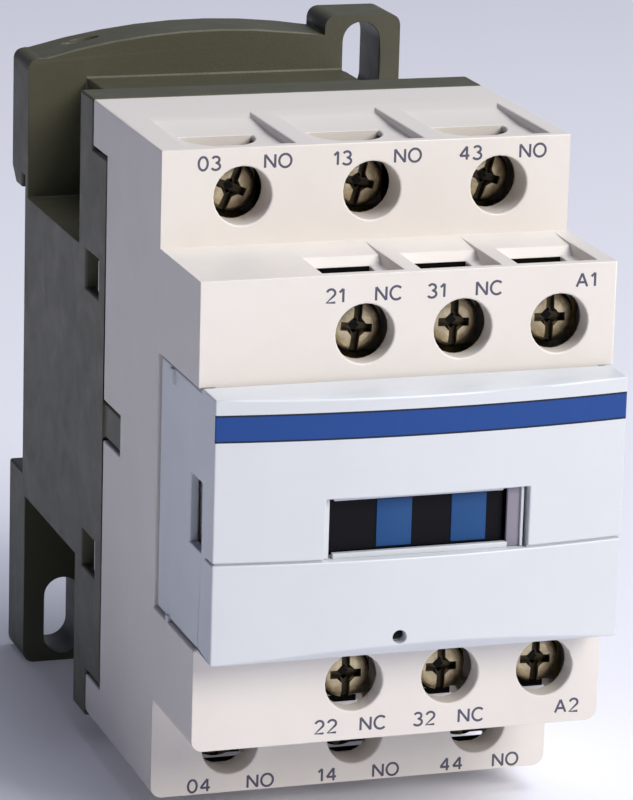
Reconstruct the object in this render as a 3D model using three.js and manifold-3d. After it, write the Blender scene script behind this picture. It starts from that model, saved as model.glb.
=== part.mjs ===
// Control relay (small contactor) for a 35 mm top-hat rail, 45 mm wide, with ten contact
// terminals and two coil terminals.
// Millimetres. +X to the right, -Y to the front, +Z up. The origin is the centre of the
// rail seat, the flat floor of the recess that the rail's front face rests on.

import * as THREE from 'three';
import Module from 'manifold-3d';
import { mergeVertices } from 'three/addons/utils/BufferGeometryUtils.js';

const wasm = await Module();
wasm.setup();

// ---- Driving dimensions -------------------------------------------------------------

const GAP = 0.3; // air between two pieces that touch on the real object
const RAIL_ABOVE_CENTRE = 2.65; // the rail sits a little above the housing's mid height

// Depth planes, from the rail seat (0) forwards.
const DEPTH = {
  blockBack: 5.8, // jaws that reach behind the rail
  seat: 0,
  flangeFront: -1.4,
  coreRear: -24.3, // behind this the base is narrower than the housing
  cornerSplit: -29.9, // base to housing joint at the top and bottom corners
  split: -35.7, // base to housing joint elsewhere
  outerFront: -56.9, // face of the top and bottom terminal tiers
  secondFront: -71.6, // face of the two inner terminal tiers
  coverFront: -78.2,
};

// Half sizes about the housing's centre.
const HALF = { width: 22.5, outer: 35.45, second: 25.05, cover: 14.05, lug: 38.5 };
const WALL = 1.7;
const SECOND_ROOF = 2.75; // thicker, for the deeper wire ramps of the inner tiers
const INNER_X = HALF.width - WALL;

// Terminals: two tiers at the top, mirrored at the bottom.
const TIER = {
  outer: { xs: [-13.7, 0.45, 14.6], z: 30.25, front: DEPTH.outerFront, headDepth: 4.3, roof: HALF.outer },
  second: { xs: [-4.9, 5.7, 16.3], z: 18.75, front: DEPTH.secondFront, headDepth: 2.8, roof: HALF.second },
};
const SCREW = { headRadius: 2.6, headThick: 1.4, shankRadius: 1.75, shankLength: 8.2, slot: 0.9, slotDeep: 0.9 };
const WELL_RADIUS = 3.15;
const COLLAR_RADIUS = 4.3;
const CLAMP = { half: 2.95, thick: 1.0, travel: 1.8 };
const PLATE = { half: 3.6, reach: 2.9, thick: 1.2, hole: 2.1, inner: 11.0, stripHalf: 2.4 };
const TIP = { radius: 1.7, thick: 0.8 };

// Moving system, at rest with the magnet open.
const TRAVEL = 4.0;
const BRIDGE = { half: 14.8, width: 3.4, thick: 0.8, tipZ: 12.9 };
const CARRIER = { halfX: 18.4, halfZ: 8.0, rear: -45.3, front: -66.6, neck: -61.9, neckHalf: 10.5 };
const NOSE = { x0: -9.9, x1: 9.2, z0: -2.9, z1: 2.8, front: -76.0 }; // the part that shows in the window
const POLE_SLOT_HALF = 2.3;
const WINDOW = { x0: -10.6, x1: 11.4, z0: -3.35, z1: 3.25 };
const MAGNET = { halfX: 6.5, halfZ: 27.5, legInner: 19.0, centreHalf: 6.0, yoke: 7.0 };
const CORE_REAR = -4.3;
const POLE_FACE = -24.3;
const BOBBIN = { halfX: 18.5, halfZ: 15.8, boreX: 6.9, boreZ: 6.4, wall: 1.2, rear: -11.7, front: -31.0 };

const COVER = {
  halfX: 22.2, wall: 1.3, skirt: 1.0, crown: 1.6, facets: 15, // the crown is how far the middle stands proud
  bevelHigh: 2.4, bevelDeep: 1.5, lineHigh: 0.22, lineDeep: 0.35,
};

// Rail clip in the lower jaw.
const RAIL_HALF = 17.5;
const CLIP = { halfX: 8.0, front: 1.4, back: 3.3, top: -12.9, bottom: -37.6 };

// ---- Materials ----------------------------------------------------------------------

const finish = (color, roughness, metalness = 0) =>
  new THREE.MeshStandardMaterial({ color, roughness, metalness, flatShading: true });

const FINISH = {
  base: () => finish('#4d4d40', 0.55),
  housing: () => finish('#e8e3de', 0.5),
  cover: () => finish('#d8dce0', 0.35),
  carrier: () => finish('#17181f', 0.5),
  bobbin: () => finish('#2a2a2c', 0.6),
  screw: () => finish('#8a7f6e', 0.38, 1),
  steel: () => finish('#a9a9a6', 0.4, 1),
  laminate: () => finish('#6b6b6b', 0.5, 1),
  copper: () => finish('#b5683f', 0.35, 1),
  brass: () => finish('#b59b5b', 0.35, 1),
  rubber: () => finish('#262626', 0.85),
};

// ---- Solids -------------------------------------------------------------------------

/** A closed three.js geometry as a solid that can be joined and cut. */
function toSolid(geometry) {
  const bare = geometry.clone();
  bare.deleteAttribute('normal');
  bare.deleteAttribute('uv');
  const merged = mergeVertices(bare, 1e-5);
  return new wasm.Manifold(new wasm.Mesh({
    numProp: 3,
    vertProperties: new Float32Array(merged.attributes.position.array),
    triVerts: new Uint32Array(merged.index.array),
  }));
}

/** A solid as a three.js geometry. */
function toGeometry(solid) {
  const mesh = solid.getMesh();
  const geometry = new THREE.BufferGeometry();
  geometry.setAttribute('position', new THREE.BufferAttribute(new Float32Array(mesh.vertProperties), 3));
  geometry.setIndex(new THREE.BufferAttribute(new Uint32Array(mesh.triVerts), 1));
  geometry.computeVertexNormals();
  return geometry;
}

/** A box between two values on each axis, given in any order. */
function block(xs, ys, zs) {
  const size = [xs, ys, zs].map(([a, b]) => Math.abs(b - a));
  const centre = [xs, ys, zs].map(([a, b]) => (a + b) / 2);
  return toSolid(new THREE.BoxGeometry(...size).translate(...centre));
}

/** An outline of [a, b] points, or a ready THREE.Shape, pushed along one axis. */
function extruded(outline, from, to, basis) {
  const shape = outline instanceof THREE.Shape
    ? outline
    : new THREE.Shape(outline.map(([a, b]) => new THREE.Vector2(a, b)));
  const geometry = new THREE.ExtrudeGeometry(shape, {
    depth: Math.abs(to - from),
    bevelEnabled: false,
    curveSegments: 10,
  });
  geometry.applyMatrix4(new THREE.Matrix4().makeBasis(...basis));
  return geometry;
}

const X_AXIS = new THREE.Vector3(1, 0, 0);
const Y_AXIS = new THREE.Vector3(0, 1, 0);
const Z_AXIS = new THREE.Vector3(0, 0, 1);
const MINUS_Y = new THREE.Vector3(0, -1, 0);

/** Outline in (y, z), pushed along X. */
const alongX = (outline, x0, x1) =>
  toSolid(extruded(outline, x0, x1, [Y_AXIS, Z_AXIS, X_AXIS]).translate(Math.min(x0, x1), 0, 0));

/** Outline in (x, z), pushed along Y. */
const alongY = (outline, y0, y1) =>
  toSolid(extruded(outline, y0, y1, [X_AXIS, Z_AXIS, MINUS_Y]).translate(0, Math.max(y0, y1), 0));

/** Outline in (x, y), pushed along Z. */
const alongZ = (outline, z0, z1) =>
  toSolid(extruded(outline, z0, z1, [X_AXIS, Y_AXIS, Z_AXIS]).translate(0, 0, Math.min(z0, z1)));

/** A round bar whose axis is parallel to Y. */
function rodY(x, z, radius, y0, y1, sides = 24) {
  const bar = new THREE.CylinderGeometry(radius, radius, Math.abs(y1 - y0), sides);
  return toSolid(bar.translate(x, (y0 + y1) / 2, z));
}

const joined = (solids) => solids.reduce((whole, piece) => whole.add(piece));
const cutBy = (solid, tools) => tools.reduce((rest, tool) => rest.subtract(tool), solid);
const SIDES = [1, -1];

/** A named mesh in the housing's frame. */
function piece(name, solid, material) {
  const mesh = new THREE.Mesh(toGeometry(solid), material);
  mesh.name = name;
  return mesh;
}

/** A compression spring along +Z from 0 to length, its end radii given. */
function springSolid(length, turns, startRadius, endRadius, wire, stepsPerTurn, sides) {
  class Helix extends THREE.Curve {
    getPoint(t, target = new THREE.Vector3()) {
      const angle = 2 * Math.PI * turns * t;
      const radius = THREE.MathUtils.lerp(startRadius, endRadius, t);
      const rise = wire + t * (length - 2 * wire);
      return target.set(radius * Math.cos(angle), radius * Math.sin(angle), rise);
    }
  }
  const section = new THREE.Shape();
  for (let k = 0; k <= sides; k += 1) {
    const angle = (2 * Math.PI * k) / sides;
    section[k ? 'lineTo' : 'moveTo'](wire * Math.cos(angle), wire * Math.sin(angle));
  }
  return toSolid(new THREE.ExtrudeGeometry(section, {
    steps: Math.round(turns * stepsPerTurn),
    extrudePath: new Helix(),
    bevelEnabled: false,
  }));
}

// ---- Terminals ----------------------------------------------------------------------

/** Every terminal: its number, where its screw is, and whether it feeds the coil. */
function listTerminals() {
  const rows = [
    { tier: TIER.outer, side: 1, labels: ['03', '13', '43'] },
    { tier: TIER.second, side: 1, labels: ['21', '31', 'A1'] },
    { tier: TIER.second, side: -1, labels: ['22', '32', 'A2'] },
    { tier: TIER.outer, side: -1, labels: ['04', '14', '44'] },
  ];
  return rows.flatMap(({ tier, side, labels }) => labels.map((label, k) => ({
    label,
    tier,
    side,
    x: tier.xs[k],
    z: side * tier.z,
    headTop: tier.front + tier.headDepth,
    isCoil: label.startsWith('A'),
  })));
}

const TERMINALS = listTerminals();
const clampFront = (t) => t.headTop + SCREW.headThick + GAP;
const collarEnd = (t) => clampFront(t) - CLAMP.travel - GAP;
const plateFront = (t) => clampFront(t) + CLAMP.thick + GAP;
const plateRear = (t) => plateFront(t) + PLATE.thick;

/** A terminal screw standing on the origin, its head towards -Y and its shank towards +Y. */
function screwSolid() {
  const { headRadius, headThick, shankRadius, shankLength, slot, slotDeep } = SCREW;
  const crown = 0.35;
  const profile = [
    [0, headThick], [headRadius * 0.6, headThick], [headRadius, headThick - crown], [headRadius, 0],
    [shankRadius, 0], [shankRadius, -shankLength + 0.6], [shankRadius - 0.6, -shankLength], [0, -shankLength],
  ];
  const points = profile.reverse().map(([r, y]) => new THREE.Vector2(r, y));
  const turned = toSolid(new THREE.LatheGeometry(points, 14).rotateZ(Math.PI));
  const reach = headRadius * 0.62;
  const floor = -headThick + slotDeep;
  const above = -headThick - 1;
  return cutBy(turned, [
    block([-headRadius - 1, headRadius + 1], [above, floor], [-slot / 2, slot / 2]),
    block([-slot / 2, slot / 2], [above, floor], [-reach, reach]),
  ]);
}

/** The square washer that the screw presses on the wire, with a groove that grips it. */
function clampSolid() {
  const { half, thick } = CLAMP;
  const plate = block([-half, half], [0, thick], [-half, half]);
  const groove = block([-0.8, 0.8], [thick - 0.25, thick + 1], [-half - 1, half + 1]);
  const hole = rodY(0, 0, SCREW.shankRadius + GAP, -1, thick + 1, 12);
  return cutBy(plate, [groove, hole]);
}

/** The fixed contact of one pole: terminal plate, strip towards the middle, and its tip. */
function fixedContactSolid(t) {
  const front = plateFront(t);
  const rear = plateRear(t);
  const outerEnd = t.side * (Math.abs(t.z) + PLATE.reach);
  const innerEnd = t.side * (Math.abs(t.z) - PLATE.half);
  const plate = block([t.x - PLATE.half, t.x + PLATE.half], [front, rear], [innerEnd, outerEnd]);
  const strip = block(
    [t.x - PLATE.stripHalf, t.x + PLATE.stripHalf], [front, rear], [t.side * PLATE.inner, innerEnd + t.side]);
  const normallyOpen = t.tier === TIER.outer;
  const tipSpan = normallyOpen ? [front - TIP.thick, front + 0.2] : [rear - 0.2, rear + TIP.thick];
  const tip = rodY(t.x, t.side * BRIDGE.tipZ, TIP.radius, ...tipSpan, 10);
  const hole = rodY(t.x, t.z, PLATE.hole, front - 1, rear + 1, 12);
  return joined([plate, strip, tip]).subtract(hole);
}

/** The lead of one coil end: terminal plate, then a strip back along the side wall. */
function coilTerminalSolid(t) {
  const front = plateFront(t);
  const rear = plateRear(t);
  const leadX = [19.5, 20.3];
  const leadZ = [t.side * 18.5, t.side * 21.6];
  const leadEnd = BOBBIN.front - GAP;
  const endSpan = [leadEnd - 0.8, leadEnd];
  const plate = block([t.x - PLATE.half, leadX[1]], [front, rear], [t.side * 15.5, t.side * 22.0]);
  const lead = block(leadX, [front, leadEnd], leadZ);
  const across = block([15.4, leadX[1]], endSpan, leadZ);
  const tab = block([15.4, 18.6], endSpan, [t.side * 12.4, leadZ[1]]);
  const hole = rodY(t.x, t.z, PLATE.hole, front - 1, rear + 1, 12);
  return joined([plate, lead, across, tab]).subtract(hole);
}

function terminalPieces() {
  const screwGeometry = toGeometry(screwSolid());
  const clampGeometry = toGeometry(clampSolid());
  return TERMINALS.flatMap((t) => {
    const name = t.label.toLowerCase();
    const screw = new THREE.Mesh(screwGeometry, FINISH.screw());
    screw.name = `terminal_screw_${name}`;
    screw.position.set(t.x, t.headTop + SCREW.headThick, t.z);
    const clamp = new THREE.Mesh(clampGeometry, FINISH.steel());
    clamp.name = `clamp_washer_${name}`;
    clamp.position.set(t.x, clampFront(t), t.z);
    const contact = t.isCoil
      ? piece(`coil_terminal_${name}`, coilTerminalSolid(t), FINISH.brass())
      : piece(`fixed_contact_${name}`, fixedContactSolid(t), FINISH.brass());
    return [screw, clamp, contact];
  });
}

// ---- Front housing ------------------------------------------------------------------

/** Side outline (y, z) of a stepped block: two half heights, its back and its two fronts. */
function steppedOutline(outer, second, back, outerFront, secondFront) {
  const half = [[back, outer], [outerFront, outer], [outerFront, second], [secondFront, second]];
  return [...half, ...half.map(([y, z]) => [y, -z]).reverse()];
}

const housingOutline = () => steppedOutline(
  HALF.outer, HALF.second, DEPTH.split, DEPTH.outerFront, DEPTH.secondFront);

const housingHollow = () => steppedOutline(
  HALF.outer - WALL, HALF.second - SECOND_ROOF, DEPTH.split + 1,
  DEPTH.outerFront + WALL, DEPTH.secondFront + WALL);

/** Tabs of the housing that reach further back over the base's top and bottom corners. */
function cornerReach(side) {
  const inner = 30.3;
  return block([-HALF.width, HALF.width], [DEPTH.split - 1, DEPTH.cornerSplit], [side * inner, side * HALF.outer]);
}

/** What is cut off the lower outside corners of the tiers, to leave them round. */
function cornerRounding(side) {
  const radius = 1.3;
  const steps = 5;
  return [
    { low: -HALF.outer, ys: [DEPTH.outerFront - 1, DEPTH.cornerSplit + 1] },
    { low: -HALF.second, ys: [DEPTH.secondFront - 1, DEPTH.outerFront] },
  ].map(({ low, ys }) => {
    const outline = [[side * (HALF.width + 1), low + radius], [side * (HALF.width + 1), low - 1]];
    outline.push([side * (HALF.width - radius), low - 1]);
    for (let k = 0; k <= steps; k += 1) {
      const angle = (k / steps) * (Math.PI / 2);
      outline.push([
        side * (HALF.width - radius * (1 - Math.sin(angle))), low + radius * (1 - Math.cos(angle)),
      ]);
    }
    return alongY(outline, ...ys);
  });
}

// Wire entries in the tiers' roofs: a sunk bed behind a lip, and a half-round hole in its floor.
const ENTRY = {
  outer: { bedHalf: 5.9, bedRear: -39.2, steep: 1.2, step: 0.5, sink: 0.95, rear: -46.6, front: -51.8, half: 4.0 },
  second: { bedHalf: 4.4, bedRear: -57.5, steep: 5.0, step: 0.3, sink: 1.25, rear: -63.3, front: -69.4, half: 3.1 },
};
const ENTRY_LIP = 1.2;
const entryOf = (t) => (t.tier === TIER.outer ? ENTRY.outer : ENTRY.second);

/** Bed and half-round wire hole above one terminal, cut into the tier's roof. */
function wireEntryCut(t) {
  const { bedHalf, bedRear, steep, step, sink, rear, front, half } = entryOf(t);
  const roof = t.side * t.tier.roof;
  const above = t.side * 3;
  const lipRear = t.tier.front + ENTRY_LIP;
  const bed = alongX([
    [bedRear, roof], [bedRear - steep, roof - t.side * step], [rear, roof - t.side * sink],
    [lipRear, roof - t.side * sink], [lipRear, roof + above], [bedRear, roof + above],
  ], t.x - bedHalf, t.x + bedHalf);
  const shoulder = front + (rear - front) * 0.12;
  const outline = new THREE.Shape();
  outline.moveTo(t.x - half, rear);
  outline.lineTo(t.x + half, rear);
  outline.quadraticCurveTo(t.x + half, shoulder, t.x, front);
  outline.quadraticCurveTo(t.x - half, shoulder, t.x - half, rear);
  const hole = alongZ(outline, roof + above, roof - t.side * 4);
  return bed.add(hole);
}

/** Wall behind the wire hole, under the roof, that guides the wire down. */
function wireGuide(t) {
  const { rear, half } = entryOf(t);
  const thick = 1.2;
  const reach = t.side * (t.tier.roof - 3.1);
  return block([t.x - half, t.x + half], [rear, rear + thick], [reach, t.side * (t.tier.roof - 1.3)]);
}

/** Terminal partitions between neighbouring poles, inside one tier. */
function partitions(tier, side) {
  const rear = tier === TIER.outer ? -45.6 : -60.4;
  const near = side * (tier === TIER.outer ? 22.0 : 14.6);
  const mids = [(tier.xs[0] + tier.xs[1]) / 2, (tier.xs[1] + tier.xs[2]) / 2];
  if (tier === TIER.second) mids.unshift(tier.xs[0] - 5.3);
  return mids.map((x) => block([x - 0.6, x + 0.6], [tier.front + 0.5, rear], [near, side * (tier.roof - 0.5)]));
}

/** Rear side notch, latch tongue and cover recess of one side wall. */
function sideWallCuts(side) {
  const notch = block([side * (INNER_X - 1), side * (HALF.width + 1)], [-42.5, -34], [-1.35, 3.15]);
  const skirtBed = block(
    [side * 20.85, side * (HALF.width + 1)], [DEPTH.outerFront + GAP, DEPTH.secondFront - 1], [-13.9, 13.9]);
  const slot = block([side * 17, side * (HALF.width + 1)], [-72.9, -68.1], [-3.4, 4.5]);
  return [notch, skirtBed, slot];
}

/** Snap tongues that reach back into the base's latch windows on one side wall. */
function latchTongues(side) {
  return SIDES.flatMap((up) => {
    const z = up * 16;
    const blade = block([side * 20.3, side * 19.2], [-38, -27.9], [z - 2.0, z + 2.0]);
    const root = block([side * 19.2, side * 21.4], [-38.5, -36], [z - 2.0, z + 2.0]);
    const barb = alongZ([
      [side * 20.2, -28.0], [side * 20.2, -32.6], [side * 22.1, -32.4], [side * 22.1, -31.2],
    ], z - 1.8, z + 1.8);
    return [blade, root, barb];
  });
}

function frontHousing() {
  const width = [-HALF.width, HALF.width];
  const shell = joined([alongX(housingOutline(), ...width), ...SIDES.map(cornerReach)]);
  const hollow = joined([
    alongX(housingHollow(), -INNER_X, INNER_X),
    ...SIDES.map((s) => block(
      [-INNER_X, INNER_X], [DEPTH.split - 0.5, DEPTH.cornerSplit + 1], [s * 20, s * (HALF.outer - WALL)])),
  ]);
  const cheeks = SIDES.map((s) => block(
    [s * 19.1, s * (HALF.width - 0.1)], [DEPTH.secondFront + 0.1, DEPTH.outerFront + 0.5], [-14.6, 14.6]));
  const collars = TERMINALS.map((t) => rodY(t.x, t.z, COLLAR_RADIUS, t.tier.front + 0.5, collarEnd(t), 16));
  const walls = [TIER.outer, TIER.second].flatMap((tier) => SIDES.flatMap((s) => partitions(tier, s)));
  const tongues = SIDES.flatMap(latchTongues);
  const guides = TERMINALS.filter((t) => t.tier === TIER.outer).map(wireGuide);
  const insides = joined([...cheeks, ...collars, ...walls, ...guides]);
  const wells = TERMINALS.map((t) => rodY(t.x, t.z, WELL_RADIUS, t.tier.front - 1, collarEnd(t) + 2, 28));
  const nosePort = block([-12.2, 13.0], [DEPTH.secondFront - 1, -60], [-5.2, 5.2]);
  const body = joined([shell.subtract(hollow), insides, ...tongues]);
  return cutBy(body, [
    ...wells, ...TERMINALS.map(wireEntryCut), ...SIDES.flatMap(sideWallCuts),
    ...SIDES.flatMap(cornerRounding), nosePort,
  ]);
}

// ---- Front cover --------------------------------------------------------------------

/** Plan (x, y) of the crowned cover: its front bulges, with a narrow flat at the middle. */
function crownedPlan(halfX, front, rear) {
  const { crown, facets } = COVER;
  const flat = halfX / facets;
  const outline = [[halfX, rear], [-halfX, rear]];
  for (let k = 0; k <= facets; k += 1) {
    const x = -halfX + (2 * halfX * k) / facets;
    const rise = Math.max(0, (x ** 2 - flat ** 2) / (halfX ** 2 - flat ** 2));
    outline.push([x, front + crown * rise]);
  }
  return outline;
}

/** Shallow line scribed across the crowned front at the window's lower edge. */
function partingLine() {
  const { halfX, lineDeep, lineHigh } = COVER;
  const low = WINDOW.z0;
  const beside = [[-halfX - 1, WINDOW.x0], [WINDOW.x1, halfX + 1]];
  const kept = alongZ(crownedPlan(halfX - lineDeep, DEPTH.coverFront + lineDeep, -70), low - 1, low + 1);
  return beside.map((xs) => block(xs, [DEPTH.coverFront - 1, -74], [low, low + lineHigh]).subtract(kept));
}

function frontCover() {
  const { halfX, wall, crown, skirt, bevelHigh, bevelDeep } = COVER;
  const rear = DEPTH.secondFront - GAP;
  const front = DEPTH.coverFront;
  const sideView = [
    [rear, HALF.cover], [front + crown, HALF.cover], [front - 1, HALF.cover - 0.5],
    [front - 1, -HALF.cover + bevelHigh], [front + bevelDeep, -HALF.cover], [rear, -HALF.cover],
  ];
  const shell = alongX(sideView, -halfX, halfX)
    .intersect(alongZ(crownedPlan(halfX, front, rear), -HALF.cover, HALF.cover));
  const hollow = alongZ(crownedPlan(halfX - wall, front + wall, rear + 1), -HALF.cover + wall, HALF.cover - wall);
  const skirts = SIDES.map((s) => block(
    [s * halfX, s * (halfX - skirt)], [front + crown + 1, DEPTH.outerFront - GAP], [-13.6, 13.6]));
  const frame = block([WINDOW.x0 - 1, WINDOW.x1 + 1], [front + 0.8, -75.2], [WINDOW.z0 - 1, WINDOW.z1 + 1]);
  const window = block([WINDOW.x0, WINDOW.x1], [front - 1, -70], [WINDOW.z0, WINDOW.z1]);
  const pinHole = rodY(-2.4, -11.85, 0.75, front - 1, -75, 14);
  const sideSlots = SIDES.map((s) => block([s * 20, s * (halfX + 1)], [-72.6, -68.4], [-3.15, 4.25]));
  return cutBy(joined([shell.subtract(hollow), ...skirts, frame]), [
    window, pinHole, ...sideSlots, ...partingLine(),
  ]);
}

// ---- Base ---------------------------------------------------------------------------

/** Rear flange outline (x, z): crowned top and bottom, with one lug at each of two corners. */
function flangeOutline() {
  const shape = new THREE.Shape();
  const edge = 34.65; // height of the crown where it meets the corner
  const crown = 37.35;
  const lugInner = 13.2;
  const round = 1.6;
  const crownAt = (x) => crown - (crown - edge) * (x / 20.5) ** 2;
  const lug = (s) => {
    shape.lineTo(s * lugInner, s * crownAt(lugInner));
    shape.lineTo(s * lugInner, s * (HALF.lug - round));
    shape.quadraticCurveTo(s * lugInner, s * HALF.lug, s * (lugInner + round), s * HALF.lug);
    shape.lineTo(s * (HALF.width - round), s * HALF.lug);
    shape.quadraticCurveTo(s * HALF.width, s * HALF.lug, s * HALF.width, s * (HALF.lug - round));
  };
  const steps = 8;
  shape.moveTo(-HALF.width, edge - 1.5);
  for (let side = 1; side >= -1; side -= 2) {
    shape.quadraticCurveTo(side * -HALF.width, side * edge, side * -20.8, side * crownAt(20.8));
    for (let k = 1; k < steps; k += 1) {
      const x = -20.8 + (k / steps) * (20.8 + lugInner);
      shape.lineTo(side * x, side * crownAt(x));
    }
    lug(side);
    shape.lineTo(side * HALF.width, side * (-edge + 1.5));
  }
  return shape;
}

/** Long hole of one fixing lug. */
function lugSlot(s) {
  const radius = 2.25;
  const half = 9.5 / 2 - radius;
  const shape = new THREE.Shape();
  shape.absarc(s * 17.7, s * 32.9 + half, radius, 0, Math.PI);
  shape.absarc(s * 17.7, s * 32.9 - half, radius, Math.PI, 2 * Math.PI);
  return alongY(shape, DEPTH.blockBack + 1, DEPTH.flangeFront - 1);
}

/** Solid masses of the base, before anything is hollowed. */
function baseMass() {
  const flush = { low: -17.95, high: 18.25 };
  const front = block([-HALF.width, HALF.width], [DEPTH.split + GAP, DEPTH.coreRear], [-29.9, 29.9]);
  const corners = block(
    [-HALF.width, HALF.width], [DEPTH.cornerSplit + GAP, DEPTH.coreRear], [-HALF.outer, HALF.outer]);
  const core = block([-15.5, 15.5], [DEPTH.coreRear - 1, DEPTH.seat], [-32, 32]);
  const flanks = block(
    [-HALF.width, HALF.width], [DEPTH.coreRear - 1, DEPTH.seat], [flush.low, flush.high]);
  const flange = alongY(flangeOutline(), DEPTH.flangeFront, DEPTH.blockBack);
  const tabs = SIDES.map((s) => block([s * 20.9, s * 22.3], [-42.2, DEPTH.split + 1], [-1.05, 2.85]));
  return joined([front, corners, core, flanks, flange, ...tabs]);
}

/** Space for the magnet and coil, open to the front. */
function magnetRoom() {
  const floor = -2.0;
  return [
    block([-20.7, 20.7], [DEPTH.split - 5, -26.1], [-29.9 + WALL, 29.9 - WALL]),
    block([-20.7, 20.7], [DEPTH.cornerSplit - 1, -26.1], [-HALF.outer + WALL, HALF.outer - WALL]),
    block([-20.7, 20.7], [-27, -4], [-16.3, 16.5]),
    block([-13.7, 13.7], [-27, floor], [-30.2, 30.2]),
  ];
}

/** Recess for the 35 mm rail, with a groove behind the fixed upper hook. */
function railRecess() {
  const centre = RAIL_ABOVE_CENTRE;
  const wide = [-HALF.width - 1, HALF.width + 1];
  const lip = 1.3;
  return [
    block(wide, [DEPTH.seat, DEPTH.blockBack + 1], [centre - RAIL_HALF - 0.3, centre + RAIL_HALF - lip]),
    block(wide, [DEPTH.seat, 1.5], [centre, centre + RAIL_HALF + 0.4]),
    alongX([[3.4, centre + RAIL_HALF - 2], [7, centre + RAIL_HALF - 2], [7, centre + RAIL_HALF + 1.4]], ...wide),
  ];
}

/** Channel of the rail clip in the lower jaw, open at the recess and below. */
function clipChannel() {
  const centre = RAIL_ABOVE_CENTRE;
  return [
    block([-CLIP.halfX - GAP, CLIP.halfX + GAP], [CLIP.front - GAP, CLIP.back + GAP], [-41, centre - RAIL_HALF + 1]),
    block([-4.5, 4.5], [CLIP.back, DEPTH.blockBack + 1], [-33, -21]),
  ];
}

/** Coring pockets in the back of both jaws, clear of the lugs and the clip. */
function backPockets() {
  const depth = [3.0, DEPTH.blockBack + 1];
  return [
    block([-19.8, -12.2], depth, [23.4, 31.4]),
    block([-10.4, -1.0], depth, [23.4, 33.0]),
    block([1.0, 10.4], depth, [23.4, 33.0]),
    block([12.2, 19.8], depth, [-31.4, -18.6]),
  ];
}

/** Latch windows, small marks and the lightening recess of the flanks. */
function baseSideCuts() {
  const windows = SIDES.flatMap((s) => SIDES.map((up) => block(
    [s * 20, s * (HALF.width + 1)], [-33.0, -27.4], [up * 16 - 2.15, up * 16 + 2.15])));
  const oval = new THREE.Shape();
  oval.absellipse(-15.6, 2.6, 2.4, 0.9, 0, 2 * Math.PI);
  const topMark = alongZ(oval, 35.2, 40);
  return [...windows, topMark];
}

function base() {
  return cutBy(baseMass(), [
    ...magnetRoom(), ...railRecess(), ...clipChannel(), ...backPockets(), ...SIDES.map(lugSlot),
    ...baseSideCuts(),
  ]);
}

// ---- Rail clip ----------------------------------------------------------------------

const CLIP_WINDOW = { half: 3.2, low: -31.5, high: -22.5 };

function railClip() {
  const bevel = 1.2;
  const slider = alongX([
    [CLIP.front, CLIP.bottom], [CLIP.back, CLIP.bottom], [CLIP.back, CLIP.top - bevel],
    [CLIP.front + 0.6, CLIP.top], [CLIP.front, CLIP.top],
  ], -CLIP.halfX, CLIP.halfX);
  const window = block([-CLIP_WINDOW.half, CLIP_WINDOW.half], [0, 5], [CLIP_WINDOW.low, CLIP_WINDOW.high]);
  const pryHole = block([-2.2, 2.2], [0, 5], [-36.4, -34.6]);
  return cutBy(slider, [window, pryHole]);
}

function railClipPieces() {
  const clip = piece('rail_clip', railClip(), FINISH.steel());
  const length = CLIP_WINDOW.high - CLIP_WINDOW.low - 2 * GAP;
  const spring = piece('rail_clip_spring', springSolid(length, 4.5, 0.62, 0.62, 0.28, 9, 6), FINISH.steel());
  spring.position.set(0, (CLIP.front + CLIP.back) / 2, CLIP_WINDOW.low + GAP);
  return [clip, spring];
}

// ---- Magnet and coil ----------------------------------------------------------------

/** An E of stacked laminations: a yoke and three legs, with its pole faces at poleY. */
function magnetE(yokeNear, yokeFar, poleY, centrePoleY) {
  const { halfX, halfZ, legInner, centreHalf } = MAGNET;
  const xs = [-halfX, halfX];
  return joined([
    block(xs, [yokeNear, yokeFar], [-halfZ, halfZ]),
    ...SIDES.map((s) => block(xs, [yokeNear, poleY], [s * legInner, s * halfZ])),
    block(xs, [yokeNear, centrePoleY], [-centreHalf, centreHalf]),
  ]);
}

function fixedCore() {
  const core = magnetE(CORE_REAR - MAGNET.yoke + 0.5, CORE_REAR, POLE_FACE, POLE_FACE + 0.2);
  const ringSlots = SIDES.map((s) => block([-9, 9], [POLE_FACE - 1, -22.1], [s * 21.2, s * 23.0]));
  return cutBy(core, ringSlots);
}

/** Copper loop let into half of an outer pole face. */
function shadingRing(s) {
  const outer = block([-8.1, 8.1], [-23.9, -22.5], [s * 21.5, s * 29.1]);
  return outer.subtract(block([-6.8, 6.8], [-25, -21], [s * 22.7, s * 27.8]));
}

function movingArmature() {
  const yokeFront = CARRIER.rear + GAP;
  return magnetE(yokeFront + MAGNET.yoke - 0.5, yokeFront, POLE_FACE - TRAVEL - GAP, POLE_FACE - TRAVEL - GAP - 0.1);
}

function coilBobbin() {
  const { halfX, halfZ, boreX, boreZ, wall, rear, front } = BOBBIN;
  const flange = (y0, y1) => block([-halfX, halfX], [y0, y1], [-halfZ, halfZ]);
  const tube = block([-boreX - wall, boreX + wall], [rear, front], [-boreZ - wall, boreZ + wall]);
  const bore = block([-boreX, boreX], [rear + 1, front - 1], [-boreZ, boreZ]);
  return joined([flange(rear, rear - wall), flange(front + wall, front), tube]).subtract(bore);
}

/** Rounded rectangle about the centre, in (x, z). */
function roundedRectangle(halfX, halfZ, radius) {
  const shape = new THREE.Shape();
  shape.absarc(halfX - radius, halfZ - radius, radius, 0, Math.PI / 2);
  shape.absarc(-halfX + radius, halfZ - radius, radius, Math.PI / 2, Math.PI);
  shape.absarc(-halfX + radius, -halfZ + radius, radius, Math.PI, 1.5 * Math.PI);
  shape.absarc(halfX - radius, -halfZ + radius, radius, 1.5 * Math.PI, 2 * Math.PI);
  return shape;
}

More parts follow.
